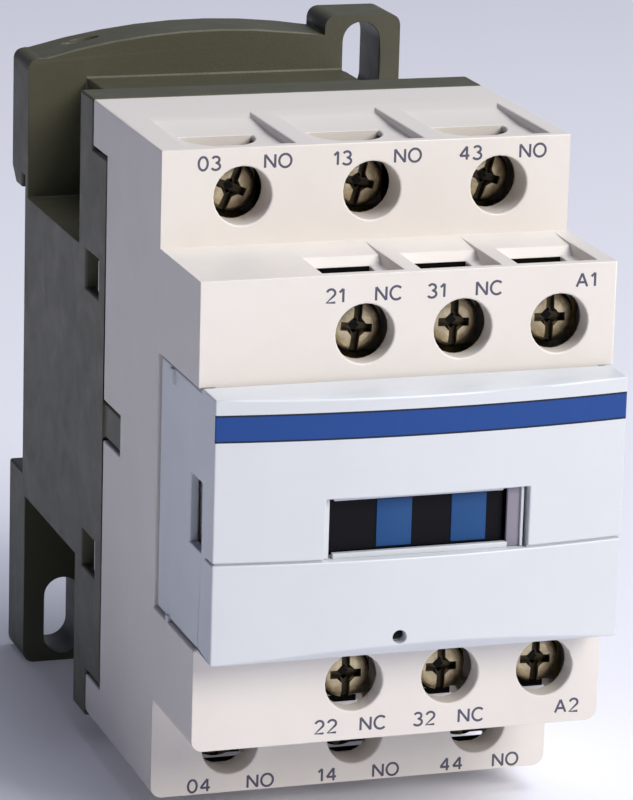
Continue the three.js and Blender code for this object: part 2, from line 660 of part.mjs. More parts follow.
function coilWinding() {
  const { halfX, halfZ, boreX, boreZ, wall, rear, front } = BOBBIN;
  const ends = [rear - wall - GAP, front + wall + GAP];
  const outside = alongY(roundedRectangle(halfX - 1.0, halfZ - 1.0, 6), ...ends);
  const insideX = boreX + wall + GAP;
  const insideZ = boreZ + wall + GAP;
  return outside.subtract(block([-insideX, insideX], [rear + 1, front - 1], [-insideZ, insideZ]));
}

function returnSpring() {
  const start = BOBBIN.front - GAP;
  const end = CARRIER.rear + GAP + MAGNET.yoke - 0.5 + GAP;
  const spring = piece('return_spring', springSolid(start - end, 2.5, 9.9, 11.6, 0.5, 18, 6), FINISH.steel());
  spring.rotation.x = Math.PI / 2;
  spring.position.y = start;
  return spring;
}

function magnetPieces() {
  const pad = block([-11, 11], [-2.3, -4.0], [-26, 26]);
  return [
    piece('core_pad', pad, FINISH.rubber()),
    piece('fixed_core', fixedCore(), FINISH.laminate()),
    piece('shading_ring_top', shadingRing(1), FINISH.copper()),
    piece('shading_ring_bottom', shadingRing(-1), FINISH.copper()),
    piece('coil_bobbin', coilBobbin(), FINISH.bobbin()),
    piece('coil_winding', coilWinding(), FINISH.copper()),
    piece('moving_armature', movingArmature(), FINISH.laminate()),
    returnSpring(),
  ];
}

// ---- Contact carrier and bridges ----------------------------------------------------

/** The five poles: name, position, the bridge's two faces and the spring's two ends. */
function listPoles() {
  return TERMINALS.filter((t) => t.side === 1 && !t.isCoil).map((t) => {
    const opens = t.tier === TIER.second; // normally closed poles open when the coil pulls
    const tipFace = opens ? plateRear(t) + TIP.thick + GAP : plateFront(t) - TIP.thick - TRAVEL - GAP;
    const away = opens ? 1 : -1;
    const stripNear = tipFace + away * 0.6;
    const stripFar = stripNear + away * BRIDGE.thick;
    return { label: t.label, x: t.x, away, tipFace, stripNear, stripFar, springEnd: stripFar + away * 4.2 };
  });
}

const POLES = listPoles();

function bridgeSolid(pole) {
  const halfWidth = BRIDGE.width / 2;
  const strip = block([pole.x - halfWidth, pole.x + halfWidth], [pole.stripNear, pole.stripFar],
    [-BRIDGE.half, BRIDGE.half]);
  const tips = SIDES.map((s) => rodY(
    pole.x, s * BRIDGE.tipZ, TIP.radius - 0.1, pole.tipFace, pole.stripNear + pole.away * 0.2, 10));
  return joined([strip, ...tips]);
}

function contactSpring(pole) {
  const length = Math.abs(pole.springEnd - pole.stripFar) - 2 * GAP;
  const spring = piece(
    `contact_spring_${pole.label}`, springSolid(length, 3, 1.45, 1.45, 0.28, 9, 5), FINISH.steel());
  spring.rotation.x = pole.away > 0 ? -Math.PI / 2 : Math.PI / 2;
  spring.position.set(pole.x, pole.stripFar + pole.away * GAP, 0);
  return spring;
}

/** Opening in the carrier for one bridge and its spring. */
function poleWindow(pole) {
  const start = pole.stripNear - pole.away * (GAP + 0.1);
  return block([pole.x - POLE_SLOT_HALF, pole.x + POLE_SLOT_HALF], [start, pole.springEnd],
    [-CARRIER.halfZ - 1, CARRIER.halfZ + 1]);
}

function contactCarrier() {
  const { halfX, halfZ, rear, front, neck, neckHalf } = CARRIER;
  const body = block([-halfX, halfX], [rear, front], [-halfZ, halfZ]);
  const nose = block([NOSE.x0, NOSE.x1], [front + 1, NOSE.front], [NOSE.z0, NOSE.z1]);
  const neckRoom = SIDES.map((s) => block(
    [s * neckHalf, s * (halfX + 1)], [front - 1, neck], [-halfZ - 1, halfZ + 1]));
  return cutBy(joined([body, nose]), [...neckRoom, ...POLES.map(poleWindow)]);
}

function contactPieces() {
  return [
    piece('contact_carrier', contactCarrier(), FINISH.carrier()),
    ...POLES.map((pole) => piece(`moving_bridge_${pole.label}`, bridgeSolid(pole), FINISH.copper())),
    ...POLES.map(contactSpring),
  ];
}

// ---- Whole object -------------------------------------------------------------------

const contactor = new THREE.Group();
contactor.position.z = -RAIL_ABOVE_CENTRE;
contactor.add(
  piece('base', base(), FINISH.base()),
  piece('front_housing', frontHousing(), FINISH.housing()),
  piece('front_cover', frontCover(), FINISH.cover()),
  ...railClipPieces(),
  ...magnetPieces(),
  ...contactPieces(),
  ...terminalPieces(),
);

const whole = new THREE.Group();
whole.add(contactor);

export default whole;
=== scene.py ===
"""Looks of a small control relay for a 35 mm top-hat rail.

Each sub-assembly is a class that takes its solids from the fixed frame, softens their edges,
adds the small shapes a moulding or a turned part has, and dresses them. Sizes are millimetres.
"""

import logging
import math
from dataclasses import dataclass, field
from enum import Enum
from typing import Any, Sequence

import bmesh
import bpy
from mathutils import Matrix, Quaternion, Vector
from mathutils.bvhtree import BVHTree


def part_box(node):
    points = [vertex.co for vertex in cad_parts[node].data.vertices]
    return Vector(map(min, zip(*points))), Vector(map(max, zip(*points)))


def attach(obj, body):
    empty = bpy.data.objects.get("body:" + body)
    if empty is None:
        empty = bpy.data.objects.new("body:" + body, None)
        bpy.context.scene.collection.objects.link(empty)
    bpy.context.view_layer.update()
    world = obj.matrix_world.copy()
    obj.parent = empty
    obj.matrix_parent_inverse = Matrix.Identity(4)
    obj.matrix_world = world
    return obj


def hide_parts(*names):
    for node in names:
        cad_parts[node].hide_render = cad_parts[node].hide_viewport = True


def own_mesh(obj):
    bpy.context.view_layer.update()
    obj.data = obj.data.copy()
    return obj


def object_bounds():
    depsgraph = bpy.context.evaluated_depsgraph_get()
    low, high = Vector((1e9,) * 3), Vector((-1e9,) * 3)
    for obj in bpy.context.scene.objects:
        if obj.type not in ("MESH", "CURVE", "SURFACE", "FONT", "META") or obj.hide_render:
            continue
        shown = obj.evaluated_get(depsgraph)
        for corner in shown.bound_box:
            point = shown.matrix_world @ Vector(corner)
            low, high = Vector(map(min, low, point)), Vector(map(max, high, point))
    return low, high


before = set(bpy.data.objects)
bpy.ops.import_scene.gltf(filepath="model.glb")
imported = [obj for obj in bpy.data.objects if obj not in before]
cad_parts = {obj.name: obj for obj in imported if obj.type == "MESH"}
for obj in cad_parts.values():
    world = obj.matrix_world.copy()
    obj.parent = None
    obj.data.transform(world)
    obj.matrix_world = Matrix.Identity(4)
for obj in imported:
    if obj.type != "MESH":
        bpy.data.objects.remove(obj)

LOG = logging.getLogger("relay")
MM = 0.001
HOUSING = "housing"
CARRIAGE = "carriage"
CENTRE_Z = -2.65  # the casing's mid height, below the rail's mid height
TIER_FACE = {"outer": -56.9, "second": -71.6}
CAD_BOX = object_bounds()

UPRIGHT = Matrix.Rotation(math.radians(90), 4, "X")  # turns +Z to -Y
TINY_FACE = 1e-12  # square metres, below which a face's normal means nothing
FOLDED_BELOW = -0.1  # cosine between a face and the solid, when the face has folded over
RELAXED_BY = 0.4  # share of an edge's radius that is kept each time it is relaxed
WEIGHT_FLOOR = 0.05  # share of the radius below which an edge stays sharp
CURVED_FROM = 8  # a pen stroke with fewer points than this is made of straight lines
FACING_FRONT = -0.5  # a face's Y normal, below which it looks to the front

Span = tuple[float, float]


# ---- Small tools ------------------------------------------------------------------


def srgb(code: str) -> tuple[float, float, float, float]:
    """Turns a hex colour into the linear values that shader sockets take.

    Args:
        code: The colour as "#rrggbb".

    Returns:
        Linear red, green and blue, with full opacity.
    """
    channels = [int(code[i : i + 2], 16) / 255 for i in (1, 3, 5)]
    linear = [c / 12.92 if c <= 0.04045 else ((c + 0.055) / 1.055) ** 2.4 for c in channels]
    return (linear[0], linear[1], linear[2], 1.0)


def add_node(
    tree: bpy.types.NodeTree,
    kind: str,
    settings: dict[Any, Any] | None = None,
    links: dict[Any, Any] | None = None,
) -> bpy.types.Node:
    """Adds one node with its settings and links.

    Args:
        tree: The tree the node goes in.
        kind: Blender's type name of the node.
        settings: Property names, or input names and numbers, with their values.
        links: Input names or numbers, each with the output that feeds it.

    Returns:
        The new node.
    """
    node = tree.nodes.new(kind)
    for key, value in (settings or {}).items():
        if isinstance(key, str) and hasattr(node, key):
            setattr(node, key, value)
    for key, value in (settings or {}).items():
        if isinstance(key, int) or not hasattr(node, key):
            node.inputs[key].default_value = value
    for key, source in (links or {}).items():
        tree.links.new(source, node.inputs[key])
    return node


def fresh_material(name: str) -> tuple[bpy.types.Material, bpy.types.NodeTree]:
    """A new material with its emptied node tree."""
    material = bpy.data.materials.new(name)
    material.use_nodes = True
    material.node_tree.nodes.clear()
    return material, material.node_tree


def point(x: float, y: float, z: float) -> Vector:
    """A point given in millimetres, in metres."""
    return Vector((x, y, z)) * MM


def show(name: str, mesh: bpy.types.Mesh) -> bpy.types.Object:
    """Puts a mesh in the scene as an object at the origin."""
    obj = bpy.data.objects.new(name, mesh)
    bpy.context.scene.collection.objects.link(obj)
    return obj


def evaluated_mesh(obj: bpy.types.Object) -> bpy.types.Mesh:
    """Turns an object, its modifiers included, into a plain mesh of its own.

    Args:
        obj: The object, which is removed afterwards.

    Returns:
        The finished mesh.
    """
    graph = bpy.context.evaluated_depsgraph_get()
    mesh = bpy.data.meshes.new_from_object(
        obj.evaluated_get(graph), preserve_all_data_layers=True, depsgraph=graph
    )
    bpy.data.objects.remove(obj)
    return mesh


def hand_over(
    obj: bpy.types.Object, body: str, stands_for: Sequence[str] = ()
) -> bpy.types.Object:
    """Hangs a finished piece on its body and hides the solids it stands for.

    Args:
        obj: The finished piece.
        body: Name of the body that carries it.
        stands_for: Names of the solids that it replaces.

    Returns:
        The same piece.
    """
    if stands_for:
        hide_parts(*stands_for)
    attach(obj, body)
    LOG.info("%s: %d faces, on %s", obj.name, len(obj.data.polygons), body)
    return obj


# ---- Finishes ---------------------------------------------------------------------


@dataclass(frozen=True)
class MouldedPlastic:
    """Injection-moulded plastic from a spark-eroded mould.

    The mould leaves an even, very fine grain, and the melt's flow leaves faint clouds in
    the colour. The grain is drawn a little coarser than the real 0.05 mm so that it shows.
    """

    name: str
    colour: str
    clouds: str
    roughness: float
    grain_mm: float = 0.16
    grain_deep: float = 0.12
    clouds_mm: float = 9.0
    glow: float = 0.0
    ior: float = 1.53

    def build(self) -> bpy.types.Material:
        """Makes the material."""
        material, tree = fresh_material(self.name)
        place = add_node(tree, "ShaderNodeTexCoord").outputs["Object"]
        grain = add_node(
            tree, "ShaderNodeTexNoise",
            {"Scale": 1 / (self.grain_mm * MM), "Detail": 3.0, "Roughness": 0.55},
            {"Vector": place},
        )
        flow = add_node(
            tree, "ShaderNodeTexNoise",
            {"Scale": 1 / (self.clouds_mm * MM), "Detail": 4.0, "Roughness": 0.6,
             "Distortion": 0.4},
            {"Vector": place},
        )
        tint = add_node(
            tree, "ShaderNodeMix",
            {"data_type": "RGBA", 6: srgb(self.colour), 7: srgb(self.clouds)},
            {0: flow.outputs["Fac"]},
        )
        gloss = add_node(
            tree, "ShaderNodeMapRange",
            {"From Min": 0.3, "From Max": 0.7, "To Min": self.roughness - 0.05,
             "To Max": self.roughness + 0.06},
            {"Value": flow.outputs["Fac"]},
        )
        relief = add_node(
            tree, "ShaderNodeBump",
            {"Strength": self.grain_deep, "Distance": 0.05 * MM},
            {"Height": grain.outputs["Fac"]},
        )
        shader = add_node(
            tree, "ShaderNodeBsdfPrincipled",
            {"IOR": self.ior, "Emission Color": srgb(self.colour), "Emission Strength": self.glow},
            {"Base Color": tint.outputs[2], "Roughness": gloss.outputs[0],
             "Normal": relief.outputs[0]},
        )
        add_node(tree, "ShaderNodeOutputMaterial", {}, {"Surface": shader.outputs[0]})
        return material


class Working(Enum):
    """How a metal part's surface was made, which sets the direction of its marks."""

    TURNED = "rings round the part's own axis"
    ROLLED = "fine lines along the strip"
    STACKED = "edges of punched sheets"
    WOUND = "turns of wire lying side by side"
    DRAWN = "smooth, with faint marks along the wire"


@dataclass(frozen=True)
class Metal:
    """A metal part with the marks of how it was made.

    Turned rings sit 0.12 mm apart, rolling lines 0.1 mm, punched sheets are 0.5 mm thick
    and wound wire is 0.2 mm across, drawn at 0.35 mm so that the turns show.
    """

    name: str
    colour: str
    stain: str
    roughness: float
    working: Working
    relief: float = 0.25
    metallic: float = 1.0
    # colour of the shade painted below a turned part's top face
    recess_shade_colour: str = "#17130E"

    def pattern(self, tree: bpy.types.NodeTree, place: Any) -> Any:
        """Adds the marks of how the part was made.

        Args:
            tree: The material's tree.
            place: The output that gives a point's place on the part.

        Returns:
            An output that is the height of the marks.
        """
        if self.working is Working.TURNED:
            own = add_node(tree, "ShaderNodeAttribute", {"attribute_name": "own_place"})
            flat = add_node(
                tree, "ShaderNodeVectorMath", {"operation": "MULTIPLY", 1: (1.0, 1.0, 0.0)},
                {0: own.outputs["Vector"]},
            )
            return add_node(
                tree, "ShaderNodeTexWave",
                {"wave_type": "RINGS", "rings_direction": "SPHERICAL", "wave_profile": "TRI",
                 "Scale": 0.314 / (0.24 * MM), "Distortion": 1.2, "Detail": 2.0, "Detail Scale": 2.0},
                {"Vector": flat.outputs[0]},
            ).outputs["Fac"]
        if self.working is Working.STACKED:
            return add_node(
                tree, "ShaderNodeTexWave",
                {"bands_direction": "X", "wave_profile": "SAW", "Scale": 0.314 / (0.5 * MM),
                 "Distortion": 0.4, "Detail": 1.0},
                {"Vector": place},
            ).outputs["Fac"]
        if self.working is Working.WOUND:
            return add_node(
                tree, "ShaderNodeTexWave",
                {"bands_direction": "Y", "wave_profile": "SIN", "Scale": 0.314 / (0.35 * MM),
                 "Distortion": 0.25, "Detail": 1.0},
                {"Vector": place},
            ).outputs["Fac"]
        stretch = (0.04, 1.0, 1.0) if self.working is Working.ROLLED else (1.0, 0.3, 1.0)
        along = add_node(tree, "ShaderNodeMapping", {"Scale": stretch}, {"Vector": place})
        return add_node(
            tree, "ShaderNodeTexNoise", {"Scale": 1 / (0.1 * MM), "Detail": 3.0},
            {"Vector": along.outputs[0]},
        ).outputs["Fac"]

    def paint_recess_shade(self, tree: bpy.types.NodeTree, tint: bpy.types.Node) -> bpy.types.Node:
        """Paints shade on a turned part below its top face: the recess and the head's sides grow
        darker with depth, as painted shade.

        Args:
            tree: The material's tree.
            tint: The node that mixes the part's own colour.

        Returns:
            The node that mixes in the painted shade.
        """
        own = add_node(tree, "ShaderNodeAttribute", {"attribute_name": "own_place"})
        deep = add_node(tree, "ShaderNodeSeparateXYZ", {}, {0: own.outputs["Vector"]})
        share = add_node(
            tree, "ShaderNodeMapRange",
            {"From Min": -0.22 * MM, "From Max": -0.6 * MM, "To Min": 0.0, "To Max": 0.92},
            {"Value": deep.outputs["Z"]},
        )
        return add_node(
            tree, "ShaderNodeMix", {"data_type": "RGBA", 7: srgb(self.recess_shade_colour)},
            {0: share.outputs[0], 6: tint.outputs[2]},
        )

    def build(self) -> bpy.types.Material:
        """Makes the material."""
        material, tree = fresh_material(self.name)
        place = add_node(tree, "ShaderNodeTexCoord").outputs["Object"]
        marks = self.pattern(tree, place)
        stains = add_node(
            tree, "ShaderNodeTexNoise", {"Scale": 1 / (1.6 * MM), "Detail": 5.0, "Roughness": 0.65},
            {"Vector": place},
        ).outputs["Fac"]
        share = add_node(
            tree, "ShaderNodeMapRange", {"From Min": 0.38, "From Max": 0.68}, {"Value": stains}
        )
        tint = add_node(
            tree, "ShaderNodeMix",
            {"data_type": "RGBA", 6: srgb(self.colour), 7: srgb(self.stain)},
            {0: share.outputs[0]},
        )
        # turned parts get painted shade in their recesses and down their sides
        if self.working is Working.TURNED:
            tint = self.paint_recess_shade(tree, tint)
        gloss = add_node(
            tree, "ShaderNodeMapRange",
            {"To Min": self.roughness - 0.07, "To Max": self.roughness + 0.12},
            {"Value": stains},
        )
        relief = add_node(
            tree, "ShaderNodeBump", {"Strength": self.relief, "Distance": 0.04 * MM}, {"Height": marks}
        )
        shader = add_node(
            tree, "ShaderNodeBsdfPrincipled", {"Metallic": self.metallic},
            {"Base Color": tint.outputs[2], "Roughness": gloss.outputs[0],
             "Normal": relief.outputs[0]},
        )
        add_node(tree, "ShaderNodeOutputMaterial", {}, {"Surface": shader.outputs[0]})
        return material


@dataclass(frozen=True)
class PrintedInk:
    """Ink or film laid on plastic: dense, with a slightly uneven edge-to-edge density."""

    name: str
    colour: str
    thin: str
    roughness: float = 0.42
    ior: float = 1.38

    def build(self) -> bpy.types.Material:
        """Makes the material."""
        material, tree = fresh_material(self.name)
        place = add_node(tree, "ShaderNodeTexCoord").outputs["Object"]
        density = add_node(
            tree, "ShaderNodeTexNoise", {"Scale": 1 / (0.7 * MM), "Detail": 4.0}, {"Vector": place}
        )
        tint = add_node(
            tree, "ShaderNodeMix",
            {"data_type": "RGBA", 6: srgb(self.colour), 7: srgb(self.thin)},
            {0: density.outputs["Fac"]},
        )
        relief = add_node(
            tree, "ShaderNodeBump", {"Strength": 0.08, "Distance": 0.02 * MM},
            {"Height": density.outputs["Fac"]},
        )
        shader = add_node(
            tree, "ShaderNodeBsdfPrincipled", {"Roughness": self.roughness, "IOR": self.ior},
            {"Base Color": tint.outputs[2], "Normal": relief.outputs[0]},
        )
        add_node(tree, "ShaderNodeOutputMaterial", {}, {"Surface": shader.outputs[0]})
        return material


@dataclass
class Finishes:
    """Every finish of the relay, made once and shared."""

    tier: Any = MouldedPlastic("polyamide_moulded_cream", "#E3DED8", "#DAD4CE", 0.46)
    cover: Any = MouldedPlastic(
        "polycarbonate_moulded_pale_grey", "#D3D7DB", "#CBD0D5", 0.36, grain_deep=0.06, ior=1.58)
    base: Any = MouldedPlastic(
        "glass_filled_polyamide_moulded_olive", "#4C4A36", "#403F2E", 0.5,
        grain_mm=0.3, grain_deep=0.3, clouds_mm=4.0)
    carrier: Any = MouldedPlastic("polyester_moulded_black", "#06060C", "#0A0A12", 0.6, ior=1.25)
    bobbin: Any = MouldedPlastic("polyamide_moulded_dark_grey", "#2A2A2C", "#333336", 0.55)
    insert: Any = MouldedPlastic("polyester_moulded_blue", "#1F4E85", "#1B477C", 0.5, ior=1.35)
    sight: Any = MouldedPlastic("polyamide_moulded_lilac_grey", "#8F8A97", "#827D8B", 0.5)
    rubber: Any = MouldedPlastic("nitrile_rubber_moulded", "#232323", "#2B2B2A", 0.8, grain_mm=0.5)
    screw: Any = Metal(
        "zinc_plated_steel_turned_bronze", "#C2B496", "#93856A", 0.27, Working.TURNED, 0.15)
    clamp: Any = Metal("zinc_plated_steel_pressed", "#A8A79E", "#85847B", 0.36, Working.ROLLED)
    wire: Any = Metal("spring_steel_drawn", "#96968F", "#74746E", 0.28, Working.DRAWN)
    clip: Any = Metal("galvanised_steel_pressed", "#A3A6A5", "#83888A", 0.42, Working.ROLLED)
    sheet: Any = Metal("silicon_steel_punched_stack", "#6E6C69", "#56534F", 0.45, Working.STACKED, 0.8)
    winding: Any = Metal(
        "enamelled_copper_wound", "#A4512C", "#8A3F20", 0.3, Working.WOUND, 1.0, metallic=0.7)
    copper: Any = Metal("copper_alloy_pressed", "#B87550", "#94573A", 0.33, Working.ROLLED)
    brass: Any = Metal("tinned_brass_pressed", "#B4A06B", "#8F8055", 0.34, Working.ROLLED)
    # near-black finish of the discs under the screw heads, painted shade
    blackened: Any = Metal("spring_steel_blackened", "#1C1B1A", "#262422", 0.4, Working.ROLLED)
    # near-black finish of the plates in the wire holes, which paint the shade of the cavities
    dark: Any = MouldedPlastic("painted_shade_black", "#050506", "#070708", 0.9, ior=1.2)
    ink: Any = PrintedInk("pad_printed_ink_grey_violet", "#4A4A5C", "#5C5C70")
    stripe: Any = PrintedInk("screen_printed_ink_blue", "#143F84", "#17448B", 0.4)
    stripe_edge: Any = PrintedInk("screen_printed_ink_navy", "#0C1830", "#101E3A", 0.36)
    made: dict[str, bpy.types.Material] = field(default_factory=dict)

    def get(self, name: str) -> bpy.types.Material:
        """The material of that name, made the first time it is asked for."""
        if name not in self.made:
            self.made[name] = getattr(self, name).build()
        return self.made[name]


# ---- Solids taken over from the frame -----------------------------------------------


@dataclass
class SoftenedSolid:
    """A solid of the frame with the small radii that a mould or a press leaves.

    Every sharp edge gets a radius, smaller where the faces beside it are narrow.
    """

    node: str
    radius: float = 0.2
    segments: int = 3
    share: float = 0.3
    sharp_from: float = 30.0
    smooth_to: float = 42.0
    flat_to: float = 0.4
    least: float = 0.0
    stray: float = 0.45
    near: float = 0.5
    passes: int = 7

    def merged(self) -> bmesh.types.BMesh:
        """A copy of the solid with its doubles merged and its flat faces joined."""
        grid = bmesh.new()
        grid.from_mesh(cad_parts[self.node].data)
        bmesh.ops.remove_doubles(grid, verts=grid.verts, dist=0.002 * MM)
        bmesh.ops.dissolve_limit(
            grid, angle_limit=math.radians(self.flat_to), verts=grid.verts, edges=grid.edges
        )
        return grid

    def weigh_edges(self, grid: bmesh.types.BMesh) -> None:
        """Gives each sharp edge the share of the radius that fits beside it.

        Args:
            grid: The merged solid.
        """
        weight = grid.edges.layers.float.new("bevel_weight_edge")
        width = {f: f.calc_area() / max(e.calc_length() for e in f.edges) for f in grid.faces}
        least = math.radians(self.sharp_from)
        for edge in grid.edges:
            if len(edge.link_faces) == 2 and edge.calc_face_angle(0.0) > least:
                room = min(width[f] for f in edge.link_faces) * self.share / (self.radius * MM)
                edge[weight] = min(1.0, room) if room > self.least else 0.0

    def rounded(self, grid: bmesh.types.BMesh, name: str) -> bpy.types.Mesh:
        """Rounds the weighted edges of a copy of the solid.

        Args:
            grid: The merged solid with its edges weighed.
            name: Name of the new mesh.

        Returns:
            The rounded mesh.
        """
        mesh = bpy.data.meshes.new(name)
        grid.to_mesh(mesh)
        mesh.materials.clear()
        obj = show(name, mesh)
        rounding = obj.modifiers.new("rounding", "BEVEL")
        rounding.limit_method = "WEIGHT"
        rounding.width = self.radius * MM
        rounding.segments = self.segments
        rounding.use_clamp_overlap = False
        return evaluated_mesh(obj)

    def spoiled(self, mesh: bpy.types.Mesh, surface: BVHTree) -> list[Vector]:
        """Finds where the radii ran off the solid or folded over.

        Args:
            mesh: The rounded mesh.
            surface: The solid's own surface.

        Returns:
            The points where that happened.
        """
        away = [v.co.copy() for v in mesh.vertices
                if surface.find_nearest(v.co)[3] > self.stray * self.radius * MM]
        folded = [f.center.copy() for f in mesh.polygons
                  if f.area > TINY_FACE
                  and surface.find_nearest(f.center)[1].dot(f.normal) < FOLDED_BELOW]
        return away + folded

    def relax(self, grid: bmesh.types.BMesh, points: Sequence[Vector]) -> None:
        """Gives the edges near some points a smaller radius.

        Args:
            grid: The merged solid with its edges weighed.
            points: The places where the radii went wrong.
        """
        weight = grid.edges.layers.float["bevel_weight_edge"]
        for edge in grid.edges:
            if edge[weight] <= 0:
                continue
            start, line = edge.verts[0].co, edge.verts[1].co - edge.verts[0].co
            for spot in points:
                share = (spot - start).dot(line) / max(line.length_squared, 1e-18)
                nearest = start + line * min(1.0, max(0.0, share))
                if (nearest - spot).length < self.near * MM:
                    smaller = edge[weight] * RELAXED_BY
                    edge[weight] = smaller if smaller > WEIGHT_FLOOR else 0.0
                    break

    def build(self, name: str) -> bpy.types.Object:
        """Makes the softened piece, without a finish.

        Args:
            name: Name of the new piece.

        Returns:
            The piece, at the origin.
        """
        grid = self.merged()
        surface = BVHTree.FromBMesh(grid)
        self.weigh_edges(grid)
        for _ in range(self.passes):
            finished = self.rounded(grid, name)
            points = self.spoiled(finished, surface)
            if not points:
                break
            self.relax(grid, points)
        grid.free()
        low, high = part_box(self.node)
        for vert in finished.vertices:
            vert.co = Vector(map(max, low, map(min, high, vert.co)))
        finished.name = name
        return self.shade(show(name, finished))

    def shade(self, obj: bpy.types.Object) -> bpy.types.Object:
        """Smooths the radii and keeps the flats flat."""
        obj.data.shade_smooth()
        obj.data.set_sharp_from_angle(angle=math.radians(self.smooth_to))
        flats = obj.modifiers.new("flats", "WEIGHTED_NORMAL")
        flats.keep_sharp = True
        return obj


def dress_plain(
    finishes: Finishes, names: Sequence[str], finish: str, body: str, radius: float
) -> None:
    """Softens and dresses solids that need nothing more.

    Args:
        finishes: The relay's finishes.
        names: The solids.
        finish: Name of their finish.
        body: The body that carries them.
        radius: Radius of their edges.
    """
    for name in names:
        obj = SoftenedSolid(name, radius, 2).build(f"{name}_finished")
        obj.data.materials.append(finishes.get(finish))
        hand_over(obj, body, [name])


# ---- Shapes made by rule -------------------------------------------------------------


@dataclass
class RuledShape:
    """A Geometry Nodes tree with named sizes, which makes plain meshes."""

    name: str
    finish: bpy.types.Material

    def sizes(self) -> dict[str, float]:
        """Names of the tree's inputs, with their values."""
        raise NotImplementedError

    def grow(self, tree: bpy.types.NodeTree, size: dict[str, Any]) -> Any:
        """Adds the nodes that make the shape and returns the geometry output."""
        raise NotImplementedError

    def mesh(self) -> bpy.types.Mesh:
        """Builds the tree, evaluates it once and returns the plain mesh."""
        tree = bpy.data.node_groups.new(self.name, "GeometryNodeTree")
        values = self.sizes()
        sockets = {
            key: tree.interface.new_socket(key, in_out="INPUT", socket_type="NodeSocketFloat")
            for key in values
        }
        tree.interface.new_socket("Geometry", in_out="OUTPUT", socket_type="NodeSocketGeometry")
        given = add_node(tree, "NodeGroupInput")
        shape = self.grow(tree, {key: given.outputs[key] for key in values})
        real = add_node(tree, "GeometryNodeRealizeInstances", {}, {0: shape})
        dressed = add_node(
            tree, "GeometryNodeSetMaterial", {"Material": self.finish}, {"Geometry": real.outputs[0]}
        )
        add_node(tree, "NodeGroupOutput", {}, {0: dressed.outputs[0]})
        obj = show(self.name, bpy.data.meshes.new(self.name))
        nodes = obj.modifiers.new("shape", "NODES")
        nodes.node_group = tree
        for key, socket in sockets.items():
            nodes[socket.identifier] = float(values[key])
        return evaluated_mesh(obj)


def arithmetic(tree: bpy.types.NodeTree, operation: str, a: Any, b: Any) -> Any:
    """Adds one sum to a tree.

    Args:
        tree: The tree.
        operation: Name of the sum, such as "MULTIPLY".
        a: First number, or the output that gives it.
        b: Second number, or the output that gives it.

    Returns:
        The output that holds the result.
    """
    settings = {"operation": operation}
    settings.update({i: v for i, v in enumerate((a, b)) if isinstance(v, (int, float))})
    links = {i: v for i, v in enumerate((a, b)) if not isinstance(v, (int, float))}
    return add_node(tree, "ShaderNodeMath", settings, links).outputs[0]


def along_axis(tree: bpy.types.NodeTree, geometry: Any, height: Any) -> Any:
    """Moves geometry along its own axis by a height that another node gives.

    Args:
        tree: The tree.
        geometry: The output that holds the geometry.
        height: The output that holds the height.

    Returns:
        The output that holds the moved geometry.
    """
    shift = add_node(tree, "ShaderNodeCombineXYZ", {}, {"Z": height})
    return add_node(
        tree, "GeometryNodeTransform", {}, {"Geometry": geometry, "Translation": shift.outputs[0]}
    ).outputs[0]


